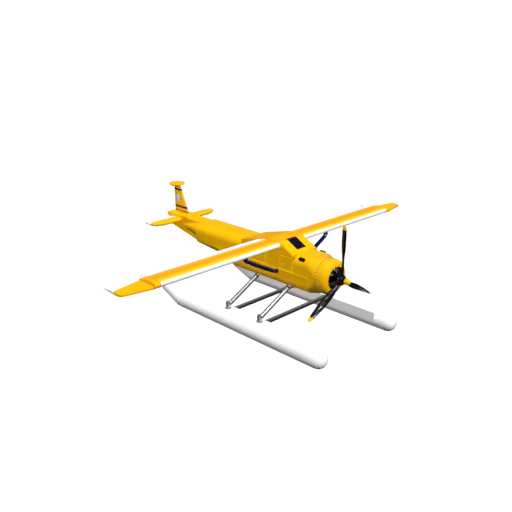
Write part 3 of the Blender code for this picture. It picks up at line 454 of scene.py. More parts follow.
def cowl_marks(shade, colour, height):
    """Fastener rows at the seam; near-black inside the mouth, as painted shade."""
    rise = shade.minus(shade.z, SHAFT.z)
    turn = shade.math("ARCTAN2", rise, shade.x)
    arc = shade.times(turn, COWL_R)
    seam = shade.line(shade.y, COWL_SEAM_Y, 0.014)
    dots = shade.times(seam, shade.every(arc, 0.12, 0.030))
    colour = shade.blend(dots, colour, (0.30, 0.17, 0.08))
    height = shade.minus(height, shade.times(seam, GROOVE))
    height = rivets(shade, height, shade.y, arc, (COWL_SEAM_Y - 0.03, COWL_SEAM_Y + 0.03), 0.06)
    normal = shade.split(shade.normal)
    across, up = normal[0], normal[2]
    outward = shade.plus(shade.times(across, shade.math("COSINE", turn)),
                         shade.times(up, shade.math("SINE", turn)))
    # Faces turned inward painted near-black: painted shade inside the mouth
    inner = shade.fade(outward, -0.25, -0.15)
    return shade.blend(inner, colour, (0.01, 0.01, 0.014)), height


def wing_marks(shade, colour, height):
    """White leading and trailing edges; between them painted light and shade: yellow that deepens
    to orange midway.
    """
    # Bright yellow base, then tints by station: painted light and shade across the chord
    colour = shade.blend(0.85, colour, (0.95, 0.74, 0.07))
    for start, stop, tint in WING_SHADING_TINTS:
        colour = shade.blend(shade.fade(shade.y, start, stop, 0.0, 1.0), colour, tint)
    for start, stop in ((WING_BAND[0] + 0.006, WING_BAND[0]), (WING_BAND[1] - 0.006, WING_BAND[1])):
        colour = shade.blend(shade.fade(shade.y, start, stop, 0.0, 1.0), colour, WHITE[0])
    span = shade.size(shade.x)
    ribs = shade.every(span, 0.62, 0.003)
    height = shade.minus(height, shade.times(ribs, GROOVE))
    return colour, rivets(shade, height, shade.y, shade.x, (-1.62, -1.25, -0.96))


def tip_marks(shade, colour, height):
    span = shade.size(shade.x)
    seams = shade.lines(span, (6.012, TIP_X - 0.012), 0.011)
    colour = shade.blend(shade.times(seams, 0.7), colour, (0.85, 0.26, 0.002))
    return colour, shade.minus(height, shade.times(seams, GROOVE))


def star_mask(shade):
    """A five-pointed star standing on two points, from its polar angle folded to half a point."""
    y0, z0, outer = STAR
    inner = outer * 0.42
    fore = shade.minus(shade.y, y0)
    rise = shade.minus(shade.z, z0)
    full = shade.plus(shade.math("ARCTAN2", fore, rise), 2.0 * pi)
    turn = shade.math("PINGPONG", full, pi / 5)
    reach = shade.reach(fore, rise)
    notch = Vector((inner * cos(pi / 5), inner * sin(pi / 5)))
    along = shade.times(shade.times(reach, shade.math("COSINE", turn)), notch.y)
    aside = shade.times(shade.times(reach, shade.math("SINE", turn)),
                       outer - notch.x)
    edge = notch.y * outer
    return shade.fade(shade.plus(along, aside), edge * 0.99, edge * 1.01)


def fin_marks(shade, colour, height):
    for centre, half in FIN_STRIPES:
        colour = shade.blend(shade.line(shade.z, centre, half), colour, STRIPE)
    colour = shade.blend(star_mask(shade), colour, SILVER)
    return colour, rivets(shade, height, shade.y, shade.z, (4.74, 4.97))


def tail_marks(shade, colour, height):
    """White aft strip on each tailplane, and its ribs."""
    span = shade.size(shade.x)
    seams = shade.every(span, 0.41, 0.004)
    strip = shade.times(shade.fade(shade.y, 4.640, 4.645, 0.0, 1.0),
                        shade.fade(span, 0.345, 0.350, 0.0, 1.0))
    strip = shade.times(strip, shade.fade(shade.z, 3.05, 3.06))
    colour = shade.blend(strip, colour, WHITE[0])
    return colour, shade.minus(height, shade.times(seams, GROOVE))


def control_marks(shade, colour, height):
    """Ribs under the skin of a white control surface."""
    ribs = shade.every(shade.size(shade.x), 0.31, 0.004, 0.012)
    colour = shade.blend(shade.times(ribs, 0.25), colour, (0.70, 0.71, 0.73))
    return colour, shade.plus(height, shade.times(ribs, GROOVE))


def float_marks(shade, colour, height):
    """Frames every metre, rivets beside them, and a mottled grey that grows towards the bottom."""
    rise = shade.minus(shade.z, FLOAT_AXIS_Z)
    out = shade.minus(shade.size(shade.x), FLOAT_X)
    arc = shade.times(shade.math("ARCTAN2", rise, out), FLOAT_R)
    frames = [-4.30 + 1.08 * step for step in range(8)]
    rings = shade.lines(shade.y, frames, 0.003)
    height = shade.minus(height, shade.times(rings, GROOVE))
    height = rivets(shade, height, shade.y, arc, [y + 0.03 for y in frames])
    # Greyer towards the bottom, mottled by noise
    lower_grey = shade.times(shade.fade(shade.z, 0.02, 0.16), shade.noise(5.0, 4.0))
    return shade.blend(shade.times(lower_grey, 0.35), colour, (0.55, 0.56, 0.52)), height


def blade_marks(shade, colour, height):
    """Yellow tip; the black wears a little grey toward the end."""
    rise = shade.minus(shade.z, SHAFT.z)
    reach = shade.reach(shade.x, rise)
    wear_and_sheen = shade.times(shade.fade(reach, 1.0, 1.8, 0.0, 1.0), shade.noise(25.0, 5.0))
    colour = shade.blend(shade.times(wear_and_sheen, 0.5), colour, (0.015, 0.015, 0.017))
    tip = shade.fade(reach, PROP_R - 0.165, PROP_R - 0.16, 0.0, 1.0)
    return shade.blend(tip, colour, YELLOW[0]), height


def bar_marks(shade, colour, height):
    """Grey on the upward faces, broken up by noise: a painted sheen of the top."""
    up = shade.split(shade.normal)[2]
    # Painted sheen: upward faces lighter grey
    wear_and_sheen = shade.times(shade.fade(up, 0.6, 0.9, 0.0, 1.0),
                       shade.fade(shade.noise(12.0), 0.1, 0.5, 0.7, 1.0))
    return shade.blend(wear_and_sheen, colour, (0.13, 0.13, 0.135)), height


def metal(name, tones, rough, share=1.0):
    shade = Shade(name, metal=share)
    grain = shade.noise(30.0, 4.0, (1.0, 1.0, 0.15))
    colour = shade.blend(shade.fade(grain, 0.35, 0.65), *tones)
    return shade.finish(colour, rough, shade.times(grain, 0.0001))


def rubber(name, tones, rough=(0.55, 0.75)):
    shade = Shade(name, specular=0.12)
    colour = shade.blend(shade.fade(shade.noise(14.0), 0.35, 0.65), *tones)
    return shade.finish(colour, rough, shade.times(shade.noise(300.0, 2.0), 0.0004))


def glass(name, tint):
    shade = Shade(name)
    shade.shader.inputs["Transmission Weight"].default_value = 1.0
    shade.shader.inputs["IOR"].default_value = 1.30
    colour = shade.blend(shade.fade(shade.noise(2.5), 0.4, 0.6), tint, tuple(0.8 * c for c in tint))
    return shade.finish(colour, (0.02, 0.06), shade.times(shade.noise(20.0, 1.0), 0.00005))


def fabric(name, tones):
    """Plain weave: two crossed sets of threads, lighter where a thread lies on top."""
    shade = Shade(name)
    shade.shader.inputs["Sheen Weight"].default_value = 0.3
    thread = 0.006
    warp = shade.math("PINGPONG", shade.x, thread)
    weft = shade.math("PINGPONG", shade.plus(shade.y, shade.z), thread)
    weave = shade.math("DIVIDE", shade.plus(warp, weft), 2.0 * thread)
    colour = shade.blend(shade.times(weave, shade.noise(9.0, 4.0)), *tones)
    return shade.finish(colour, (0.75, 0.9), shade.times(weave, 0.002))


def new_piece(name, bm, finish, body="airframe", angle=35.0):
    """Turns a mesh into a piece that rides a body, with its material."""
    bmesh.ops.recalc_face_normals(bm, faces=bm.faces)
    mesh = bpy.data.meshes.new(name)
    bm.to_mesh(mesh)
    bm.free()
    mesh.shade_smooth()
    mesh.set_sharp_from_angle(angle=radians(angle))
    mesh.materials.append(finish)
    piece = bpy.data.objects.new(name, mesh)
    bpy.context.scene.collection.objects.link(piece)
    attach(piece, body)
    return piece


def circle(centre, radius, across, up, sides):
    """Points of a circle that lies along two unit vectors."""
    turns = [2 * pi * s / sides for s in range(sides)]
    return [centre + radius * (cos(turn) * across + sin(turn) * up) for turn in turns]


def loft(bm, rings, closed_loop=False, capped=True):
    """Adds a skin through rings of equal length to a mesh."""
    layers = [[bm.verts.new(point) for point in ring] for ring in rings]
    pairs = list(zip(layers[:-1], layers[1:]))
    if closed_loop:
        pairs.append((layers[-1], layers[0]))
    count = len(layers[0])
    for first, second in pairs:
        for index in range(count):
            after = (index + 1) % count
            bm.faces.new((first[index], first[after], second[after], second[index]))
    if capped and not closed_loop:
        bm.faces.new(layers[0])
        bm.faces.new(layers[-1])


def basis(along):
    """Two unit vectors square to a direction."""
    along = Vector(along).normalized()
    guide = Vector((0, 0, 1)) if abs(along.z) < 0.9 else Vector((1, 0, 0))
    across = along.cross(guide).normalized()
    return across, along.cross(across)


def turned(bm, foot, along, profile, sides=24, closed_loop=False):
    """Adds a body turned about a line: profile has (distance along, radius) points."""
    foot, along = Vector(foot), Vector(along).normalized()
    across, up = basis(along)
    rings = []
    for distance, radius in profile:
        centre = foot + along * distance
        rings.append(circle(centre, radius, across, up, sides))
    loft(bm, rings, closed_loop)


def tube(bm, path, radius, sides=10):
    """Adds a round bar along points, closed flat at each end."""
    points = [Vector(point) for point in path]
    across = None
    rings = []
    for index, point in enumerate(points):
        before = points[max(index - 1, 0)]
        after = points[min(index + 1, len(points) - 1)]
        along = (after - before).normalized()
        if across is None:
            across = basis(along)[0]
        else:
            across = (across - along * across.dot(along)).normalized()
        up = along.cross(across)
        rings.append(circle(point, radius, across, up, sides))
    loft(bm, rings)


def hoop(bm, centre, along, radius, wire, sides=40, wire_sides=8):
    """Adds a ring of round wire about a line through its centre."""
    across, up = basis(along)
    along = Vector(along).normalized()
    rings = []
    for step in range(sides):
        turn = 2 * pi * step / sides
        outward = cos(turn) * across + sin(turn) * up
        middle = Vector(centre) + radius * outward
        rings.append(circle(middle, wire, outward, along, wire_sides))
    loft(bm, rings, closed_loop=True)


def bead(bm, loop, radius, wire_sides=8):
    """Adds a closed bead along a smooth loop of points."""
    count = len(loop)
    middle = sum(loop, Vector()) / count
    rings = []
    for index, point in enumerate(loop):
        along = (loop[(index + 1) % count] - loop[index - 1]).normalized()
        outward = point - middle
        outward = (outward - along * outward.dot(along)).normalized()
        up = along.cross(outward)
        rings.append(circle(point, radius, outward, up, wire_sides))
    loft(bm, rings, closed_loop=True)


def block(bm, low, high, bevel=0.004):
    """Adds a box with rounded edges."""
    made = bmesh.ops.create_cube(bm, size=1.0)
    middle = (Vector(low) + Vector(high)) * 0.5
    size = Vector(high) - Vector(low)
    for vert in made["verts"]:
        vert.co = middle + Vector(a * b for a, b in zip(vert.co, size))
    edges = list({edge for vert in made["verts"] for edge in vert.link_edges})
    bmesh.ops.bevel(bm, geom=edges, offset=bevel, segments=2, affect="EDGES", clamp_overlap=True)


def screen_z(y):
    """Outer height of the windscreen frame at a station."""
    for (y0, z0), (y1, z1) in zip(SCREEN_LINE[:-1], SCREEN_LINE[1:]):
        if y <= y1:
            return z0 + (z1 - z0) * (y - y0) / (y1 - y0)
    return SCREEN_LINE[-1][1]


PAINT = {
    "fuselage": enamel("fuselage_yellow", YELLOW, fuselage_marks),
    "cone": enamel("tail_cone_yellow", YELLOW, cone_marks),
    "cabin": enamel("cabin_yellow", YELLOW, cabin_marks),
    "roof": enamel("roof_yellow", YELLOW, roof_marks),
    "frame": enamel("screen_frame_yellow", YELLOW, screen_marks),
    "nose": enamel("nose_yellow", YELLOW, nose_marks),
    "cowl": enamel("cowl_yellow", YELLOW, cowl_marks, coat=0.8),
    "wing": enamel("wing_yellow", YELLOW, wing_marks),
    "tip": enamel("tip_yellow", YELLOW, tip_marks),
    "fin": enamel("fin_yellow", YELLOW, fin_marks),
    "tail": enamel("tail_yellow", YELLOW, tail_marks),
    "control": enamel("control_white", WHITE, control_marks),
    "float": enamel("float_white", WHITE, float_marks),
    "blade": enamel("blade_black", ((0.002, 0.002, 0.0025), (0.003, 0.003, 0.0035)),
                    blade_marks, (0.16, 0.22), 0.0, 0.4),
    "black": enamel("gloss_black", ((0.003, 0.003, 0.004), (0.005, 0.005, 0.006)),
                    None, (0.2, 0.3), 0.0, 0.15),
    "bar": enamel("bar_black", ((0.018, 0.018, 0.02), (0.026, 0.026, 0.028)),
                  bar_marks, (0.35, 0.5), 0.1),
    "navy": enamel("strut_navy", (NAVY, (0.001, 0.005, 0.06)), None, (0.10, 0.16), 0.4, 0.12),
    "steel": metal("strut_steel", ((0.46, 0.47, 0.50), (0.38, 0.39, 0.42)), (0.22, 0.27), 0.8),
    "bright": metal("bright_fittings", ((0.62, 0.62, 0.63), (0.5, 0.5, 0.51)), (0.2, 0.35)),
    "iron": metal("engine_metal", ((0.035, 0.035, 0.04), (0.02, 0.02, 0.024)), (0.22, 0.32)),
    "rubber": rubber("black_rubber", ((0.012, 0.012, 0.013), (0.02, 0.02, 0.02))),
    "panel": rubber("panel_black", ((0.015, 0.012, 0.015), (0.025, 0.02, 0.024)), (0.4, 0.6)),
    "seal": enamel("screen_seal", (REVEAL, (0.17, 0.003, 0.04))),
    "screen": glass("screen_glass", (0.42, 0.42, 0.60)),
    "window": glass("window_glass", (0.45, 0.45, 0.50)),
    "seat": fabric("seat_weave", ((0.10, 0.035, 0.008), (0.34, 0.15, 0.03))),
    "dial": enamel("dial_white", ((0.75, 0.75, 0.72), (0.6, 0.6, 0.58))),
}

NODE_PAINT = {
    "fuselage": ("rear_fuselage",),
    "cone": ("tail_cone",),
    "cabin": ("cabin_floor", "cabin_side_L", "cabin_side_R", "firewall", "aft_bulkhead",
              "crew_door_L", "crew_door_R", "cabin_door_L", "cabin_door_R"),
    "roof": ("cabin_roof",),
    "frame": ("windscreen_frame",),
    "nose": ("nose_section",),
    "cowl": ("cowl_ring", "cowl_lip"),
    "wing": ("wing_L", "wing_R"),
    "tip": ("wing_tip_L", "wing_tip_R"),
    "fin": ("fin", "rudder"),
    "tail": ("fin_base", "fin_cap", "tailplane_L", "tailplane_R", "spinner"),
    "control": ("elevator_L", "elevator_R", "flap_L", "flap_R", "aileron_L", "aileron_R"),
    "float": ("float_L", "float_R"),
    "blade": ("propeller_blade_1", "propeller_blade_2", "propeller_blade_3"),
    "black": ("propeller_hub", "exhaust_L", "exhaust_R"),
    "bar": ("spreader_bar_front", "spreader_bar_rear"),
    "iron": ("engine_block",),
    "navy": ("wing_strut_L", "wing_strut_R"),
    "steel": ("float_strut_front_L", "float_strut_front_R",
              "float_strut_rear_L", "float_strut_rear_R"),
    "panel": ("instrument_panel",),
    "screen": ("windscreen_glass",),
    "window": ("cabin_window_L", "cabin_window_R"),
    "seat": ("crew_seat_L", "crew_seat_R", "cabin_bench"),
}


def paint_nodes():
    for key, names in NODE_PAINT.items():
        for name in names:
            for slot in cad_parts[name].material_slots:
                slot.material = PAINT[key]


def engine_detail():
    """Cooling fins, rocker caps, pushrods, ignition ring and leads, case bolts, and a black baffle
    that is also painted shade behind the engine.
    """
    fins = bmesh.new()
    rods = bmesh.new()
    heads = bmesh.new()
    for number in range(CYLINDERS):
        turn = radians(90.0 + 360.0 * number / CYLINDERS)
        outward = spoke(turn)
        aside = Vector((-sin(turn), 0.0, cos(turn)))
        shaft = Vector((0.0, CYLINDER_Y, SHAFT.z))
        for step in range(FINS_A_CYLINDER):
            radius = 0.092 if step < HEAD_FINS else 0.108
            start = FIRST_FIN_R + FIN_PITCH * step
            turned(fins, shaft + outward * start, outward, washer(0.007, 0.06, radius), 18)
        for sign in (1.0, -1.0):
            low = Vector((0.0, -3.70, SHAFT.z)) + outward * 0.235 + aside * (0.035 * sign)
            high = Vector((0.0, -3.705, SHAFT.z)) + outward * 0.505 + aside * (0.060 * sign)
            tube(rods, (low, high), 0.011)
            turned(heads, high - outward * 0.02, outward, ROCKER_CAP, 12)
    hoop(rods, (0.0, RING_Y, SHAFT.z), (0, 1, 0), RING_R, 0.014)
    for number in range(2 * CYLINDERS):
        turn = radians(100.0 + 180.0 * number / CYLINDERS)
        outward = spoke(turn)
        ring = Vector((0.0, RING_Y, SHAFT.z)) + outward * RING_R
        lead = (ring, ring + outward * 0.06 + Vector((0, 0.01, 0)),
                ring + outward * 0.22 + Vector((0, 0.05, 0)))
        tube(rods, lead, 0.006, 8)
    new_piece("engine_fins", fins, PAINT["iron"])
    new_piece("engine_rods", rods, PAINT["bright"])
    new_piece("engine_rocker_caps", heads, PAINT["black"])
    # Black baffle ring filling the cowl behind the cylinders: a dark sheet for the shade there
    baffle = bmesh.new()
    turned(baffle, (0.0, BAFFLE_Y, SHAFT.z), (0, 1, 0), washer(0.006, 0.305, 0.60), 48, True)
    new_piece("engine_shade_baffle", baffle, PAINT["rubber"])
    bolts = bmesh.new()
    for number in range(CASE_BOLTS):
        turn = 2 * pi * number / CASE_BOLTS
        spot = Vector((CASE_BOLT_R * cos(turn), RING_Y, SHAFT.z + CASE_BOLT_R * sin(turn)))
        turned(bolts, spot + Vector((0, 0.03, 0)), (0, -1, 0), CASE_BOLT, 6)
    new_piece("engine_bolts", bolts, PAINT["bright"])


def propeller_detail():
    """Clamp rings at the blades' roots, bolts round the hub and the spinner's screws."""
    clamps = bmesh.new()
    for angle in BLADE_ANGLES:
        along = spoke(radians(angle))
        turned(clamps, SHAFT + along * CLAMP_R, along, BLADE_CLAMP, 24)
    new_piece("blade_clamps", clamps, PAINT["black"], "propeller")
    bolts = bmesh.new()
    front = SHAFT.y - HUB_HALF
    for number in range(HUB_BOLTS):
        turn = 2 * pi * (number + 0.5) / HUB_BOLTS
        spot = (HUB_BOLT_R * cos(turn), front + 0.004, SHAFT.z + HUB_BOLT_R * sin(turn))
        turned(bolts, spot, (0, -1, 0), HUB_BOLT, 6)
    for number in range(SPINNER_SCREWS):
        turn = 2 * pi * number / SPINNER_SCREWS
        outward = spoke(turn)
        spot = Vector((0.0, front - 0.105, SHAFT.z)) + outward * SPINNER_SCREW_R
        turned(bolts, spot, outward, SPINNER_SCREW, 10)
    new_piece("propeller_bolts", bolts, PAINT["bright"], "propeller")
    shaft = bmesh.new()
    turned(shaft, (0.0, -4.10, SHAFT.z), (0, -1, 0), SHAFT_COLLAR, 32)
    new_piece("shaft_seal", shaft, PAINT["bright"])


def cowl_detail():
    """Rolled rim of the mouth, the toggles on the seam and the exhausts' lips."""
    rim = bmesh.new()
    hoop(rim, (0.0, COWL_MOUTH[0], SHAFT.z), (0, 1, 0), COWL_MOUTH[1], 0.011, 64, 10)
    new_piece("cowl_rim", rim, PAINT["cowl"])
    fasteners = bmesh.new()
    for number in range(TOGGLES):
        turn = 2 * pi * (number + 0.5) / TOGGLES
        outward = spoke(turn)
        spot = Vector((0.0, COWL_SEAM_Y - 0.028, SHAFT.z)) + outward * (COWL_R - 0.005)
        turned(fasteners, spot, outward, TOGGLE, 12)
    new_piece("cowl_fasteners", fasteners, PAINT["bright"])
    for side, sign in SIDES.items():
        pipes = bmesh.new()
        outward = Vector((sign * cos(radians(45)), 0.0, sin(radians(45))))
        foot = Vector((sign * 0.333, 0.0, 2.70)) + outward * 0.372
        for y in EXHAUST_ROWS:
            turned(pipes, Vector((foot.x, y, foot.z)), outward, PIPE_LIP, 20)
        new_piece("exhaust_lip_" + side, pipes, PAINT["rubber"])


def windscreen_detail():
    """The maroon seal between the pane and the opening's sides."""
    front, aft, half = SCREEN_CUT
    inset = SEAL_R - 0.003
    corners = []
    stations = (front + inset, SCREEN_LINE[1][0], aft - inset)
    for sign in (1.0, -1.0):
        side = [(sign * (half - inset), y, screen_z(y) + SEAL_DROP) for y in stations]
        corners += side if sign > 0 else list(reversed(side))
    seal = bmesh.new()
    for first, second in zip(corners, corners[1:] + corners[:1]):
        tube(seal, (first, second), SEAL_R)
    new_piece("windscreen_seal", seal, PAINT["seal"])


def door_detail():
    """Handles and window gaskets; each rides its own door."""
    for side, sign in SIDES.items():
        for door, (aft, sill) in (("crew_door_", CREW_DOOR), ("cabin_door_", CABIN_DOOR)):
            body = door + "body_" + side
            skin = sign * BODY_HALF
            handle = bmesh.new()
            y = aft - 0.10
            z = sill + 0.20
            for foot in (y - 0.07, y):
                turned(handle, (skin - sign * 0.004, foot, z), (sign, 0, 0), HANDLE_FOOT, 14)
            grip = ((0.020, y - 0.07), (0.026, y - 0.035), (0.020, y))
            tube(handle, [(skin + sign * out, station, z) for out, station in grip], 0.008)
            new_piece(door + "handle_" + side, handle, PAINT["tail"], body)
        window = bmesh.new()
        y0, y1, z0, z1 = DOOR_WINDOW
        face = sign * (BODY_HALF + 0.001)
        loop = [(face, y0, z0), (face, y1, z0), (face, y1, z1), (face, y0, z1)]
        for first, second in zip(loop, loop[1:] + loop[:1]):
            tube(window, (first, second), 0.009)
            turned(window, Vector(second) - Vector((0.009, 0, 0)), (1, 0, 0), GASKET_CORNER, 10)
        new_piece("cabin_window_gasket_" + side, window, PAINT["rubber"],
                  "cabin_door_body_" + side)


def evaluated(item):
    """The item's mesh with its modifiers worked in."""
    graph = bpy.context.evaluated_depsgraph_get()
    return bpy.data.meshes.new_from_object(item.evaluated_get(graph))


def stuffed(name, bm):
    """Fills a closed form by cloth under pressure, each point moving at most CUSHION_CAP."""
    mesh = bpy.data.meshes.new(name + "_form")
    bm.to_mesh(mesh)
    bm.free()
    form = bpy.data.objects.new(name + "_form", mesh)
    scene = bpy.context.scene
    scene.collection.objects.link(form)
    remesh = form.modifiers.new("even", "REMESH")
    remesh.mode = "VOXEL"
    remesh.voxel_size = CUSHION_VOXEL
    skin = evaluated(form)
    form.modifiers.clear()
    form.data = skin
    start = [vert.co.copy() for vert in skin.vertices]
    cloth = form.modifiers.new("cloth", "CLOTH")
    cloth.settings.quality = 4
    cloth.settings.use_pressure = True
    cloth.settings.uniform_pressure_force = CUSHION_PRESSURE
    cloth.settings.effector_weights.gravity = 0.0
    cloth.point_cache.frame_start = 1
    cloth.point_cache.frame_end = CUSHION_FRAMES
    for number in range(1, CUSHION_FRAMES + 1):
        scene.frame_set(number)
    filled = evaluated(form)
    form.modifiers.clear()
    for vert, before, after in zip(skin.vertices, start, filled.vertices):
        move = after.co - before
        if move.length > CUSHION_CAP:
            move *= CUSHION_CAP / move.length
        vert.co = before + move
    scene.frame_set(1)
    finer = form.modifiers.new("finer", "SUBSURF")
    finer.levels = 1
    smooth = evaluated(form)
    bpy.data.objects.remove(form, do_unlink=True)
    made = bmesh.new()
    made.from_mesh(smooth)
    return made


def cushion_form(name, size):
    """One stuffed pad about its own centre, with a crowned face and two sewn channels."""
    bm = bmesh.new()
    bmesh.ops.create_cube(bm, size=2.0)
    bmesh.ops.subdivide_edges(bm, edges=bm.edges, cuts=14, use_grid_fill=True)
    half = Vector(size) * 0.5 - Vector((CUSHION_CAP, CUSHION_CAP, CUSHION_CAP)) * START_SHARE
    for vert in bm.verts:
        u, v, w = vert.co
        edge = max((1.0 - abs(u) ** 6) * (1.0 - abs(v) ** 6), 0.0)
        puff = (0.55 + 0.45 * edge ** 0.4) * (0.82 + 0.18 * (1 - u * u) * (1 - v * v))
        pull = 1.0 - 0.05 * (1 - w * w) * (abs(u) ** 4 * (1 - v * v) + abs(v) ** 4 * (1 - u * u))
        corner = 1.0 - 0.10 * (abs(u) * abs(v)) ** 5
        vert.co = Vector((u * half.x * corner * pull, v * half.y * corner * pull,
                          w * half.z * (puff if w > 0 else 0.9)))
    made = stuffed(name, bm)
    seams = (-size[0] / 6.0, size[0] / 6.0)
    for vert in made.verts:
        if vert.co.z > 0.0:
            near = min(abs(vert.co.x - seam) for seam in seams)
            inside = max(0.0, 1.0 - (2.0 * vert.co.y / size[1]) ** 8)
            vert.co.z -= CHANNEL_DEPTH * inside * max(0.0, 1.0 - near / CHANNEL_HALF) ** 2
    return made


def cushion(name, form, centre, size, tilt):
    """Places a copy of a stuffed pad, with piping round its seam."""
    spin = Matrix.Translation(centre) @ Matrix.Rotation(tilt, 4, "X")
    bm = form.copy()
    bm.transform(spin)
    piece = new_piece(name, bm, PAINT["seat"], angle=60.0)
    piping = bmesh.new()
    skin = BVHTree.FromBMesh(form)
    loop = []
    for step in range(PIPING_STEPS):
        turn = 2 * pi * step / PIPING_STEPS
        reach = Vector((cos(turn) * size[0], sin(turn) * size[1], 0.0)).normalized()
        edge = skin.ray_cast(Vector((0.0, 0.0, size[2] * SEAM_LEVEL)), reach)[0]
        loop.append(spin @ edge)
    bead(piping, loop, PIPING_R)
    new_piece(name + "_piping", piping, PAINT["rubber"], angle=60.0)
    return piece


def seats():
    """Cushions on tube frames in the place of each plain seat solid."""
    forms = {}
    for node, x0, x1, front, top in SEAT_ROWS:
        middle = 0.5 * (x0 + x1)
        width = x1 - x0
        length = top - CUSHION_TOP_Z
        base_size = (width - 0.01, BASE_DEPTH, BASE_THICK)
        back_size = (width - 0.02, length, BACK_THICK)
        pair = []
        for size in (base_size, back_size):
            key = tuple(round(side, 3) for side in size)
            if key not in forms:
                forms[key] = cushion_form(node, size)
            pair.append(forms[key])
        base_form, back_form = pair
        seat_centre = (middle, front + 0.22, CUSHION_TOP_Z - 0.06)
        base = cushion(node + "_cushion", base_form, seat_centre, base_size, 0.0)
        lean = atan2(BACK_LEAN, length)
        back_centre = (middle, front + 0.46, CUSHION_TOP_Z + 0.5 * length)
        cushion(node + "_back", back_form, back_centre, back_size, pi / 2 - lean)
        legs = bmesh.new()
        for x in (x0 + LEG_INSET, x1 - LEG_INSET):
            for y in (front + station for station in LEG_STATIONS):
                tube(legs, ((x, y, FLOOR_Z + 0.002), (x, y, 2.31)), FRAME_R)
                turned(legs, (x, y, FLOOR_Z + 0.001), (0, 0, 1), SEAT_FOOT, 14)
            tube(legs, ((x, front + 0.05, 2.305), (x, front + 0.44, 2.305)), FRAME_R)
            head = (x, front + 0.43 + BACK_LEAN * 0.9, CUSHION_TOP_Z + length * 0.9)
            tube(legs, ((x, front + 0.43, 2.32), head), 0.011)
        for y in (front + station for station in LEG_STATIONS):
            tube(legs, ((x0 + LEG_INSET, y, 2.20), (x1 - LEG_INSET, y, 2.20)), 0.010)
        new_piece(node + "_frame", legs, PAINT["steel"])
        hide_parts(node)
    for form in forms.values():
        form.free()


def cockpit():
    """Dials with bezels and needles on the panel, two yokes and rudder pedals."""
    faces = bmesh.new()
    bezels = bmesh.new()
    needles = bmesh.new()
    tilt = Vector((0, 0.95, 0.30)).normalized()
    for column in DIAL_COLUMNS:
        for row, z in enumerate(DIAL_LEVELS):
            spot = Vector((column * DIAL_PITCH, -2.422 + (z - 2.60) * 0.30 + 0.002, z))
            turned(faces, spot, tilt, DIAL_FACE, 20)
            turned(bezels, spot, tilt, BEZEL, 20)
            turn = 0.7 * column + 1.9 * row
            across, up = basis(tilt)
            tip = spot + tilt * 0.007 + (cos(turn) * across + sin(turn) * up) * 0.030
            tube(needles, (spot + tilt * 0.007, tip), 0.0022, 6)
    new_piece("panel_dials", faces, PAINT["panel"])
    new_piece("panel_bezels", bezels, PAINT["bright"])
    new_piece("panel_needles", needles, PAINT["dial"])
    yokes = bmesh.new()
    for x in YOKE_X:
        tube(yokes, ((x, -2.40, 2.66), (x, -2.17, YOKE_Z)), 0.014)
        rim = [(x + 0.13 * sin(radians(a)), YOKE_Y, YOKE_Z + 0.11 * cos(radians(a)))
               for a in range(40, 321, 20)]
        tube(yokes, rim, 0.012)
        tube(yokes, ((x - 0.12, YOKE_Y, 2.69), (x + 0.12, YOKE_Y, 2.69)), 0.010)
        for offset in PEDAL_OFFSETS:
            tube(yokes, ((x + offset, -2.46, 2.12), (x + offset, -2.38, 2.24)), 0.010)
            block(yokes, (x + offset - 0.04, -2.405, 2.235), (x + offset + 0.04, -2.375, 2.30))
    new_piece("yokes_and_pedals", yokes, PAINT["rubber"])


def strut_detail():
    """Clamps and plates where the float struts, wing struts and spreader bars end."""
    for side, sign in SIDES.items():
        for station, y in STRUT_Y.items():
            plates = bmesh.new()
            turned(plates, (sign * STRUT_FOOT_X, y, DECK_Z + 0.001), (0, 0, 1), STRUT_PLATE, 28)
            for number in range(PLATE_BOLTS):
                turn = 2 * pi * number / PLATE_BOLTS
                spot = (sign * STRUT_FOOT_X + PLATE_BOLT_R * cos(turn),
                        y + PLATE_BOLT_R * sin(turn), DECK_Z + 0.008)
                turned(plates, spot, (0, 0, 1), PLATE_BOLT, 6)
            new_piece("strut_plate_%s_%s" % (station, side), plates, PAINT["steel"])
            collar = bmesh.new()
            head = Vector((sign * STRUT_HEAD[0], y, STRUT_HEAD[1]))
            low = Vector((sign * STRUT_FOOT_X, y, 0.805))
            along = (head - low).normalized()
            turned(collar, head - along * 0.10, along, STRUT_COLLAR, 28)
            block(collar, (sign * SOCKET_X - 0.12, y - 0.11, BELLY_Z - 0.055),
                  (sign * SOCKET_X + 0.12, y + 0.11, BELLY_Z - 0.002), 0.012)
            new_piece("strut_socket_%s_%s" % (station, side), collar,
                      PAINT["rubber"])
        for station, y in BAR_Y.items():
            shoe = bmesh.new()
            x0, x1 = sorted((sign * (FLOAT_X - FLOAT_R - 0.05), sign * (FLOAT_X - FLOAT_R - 0.002)))
            block(shoe, (x0, y - 0.095, 0.555), (x1, y + 0.095, 0.700), 0.010)
            new_piece("bar_shoe_%s_%s" % (station, side), shoe, PAINT["black"])
        fitting = bmesh.new()
        foot = (sign * (BODY_HALF + 0.001), *CABIN_STRUT_END)
        turned(fitting, foot, (sign, 0, 0), CABIN_FITTING, 24)
        out, station, level = WING_STRUT_END
        turned(fitting, (sign * out, station, level), (0, 0, -1), WING_FITTING, 24)
        new_piece("wing_strut_fitting_" + side, fitting, PAINT["navy"])


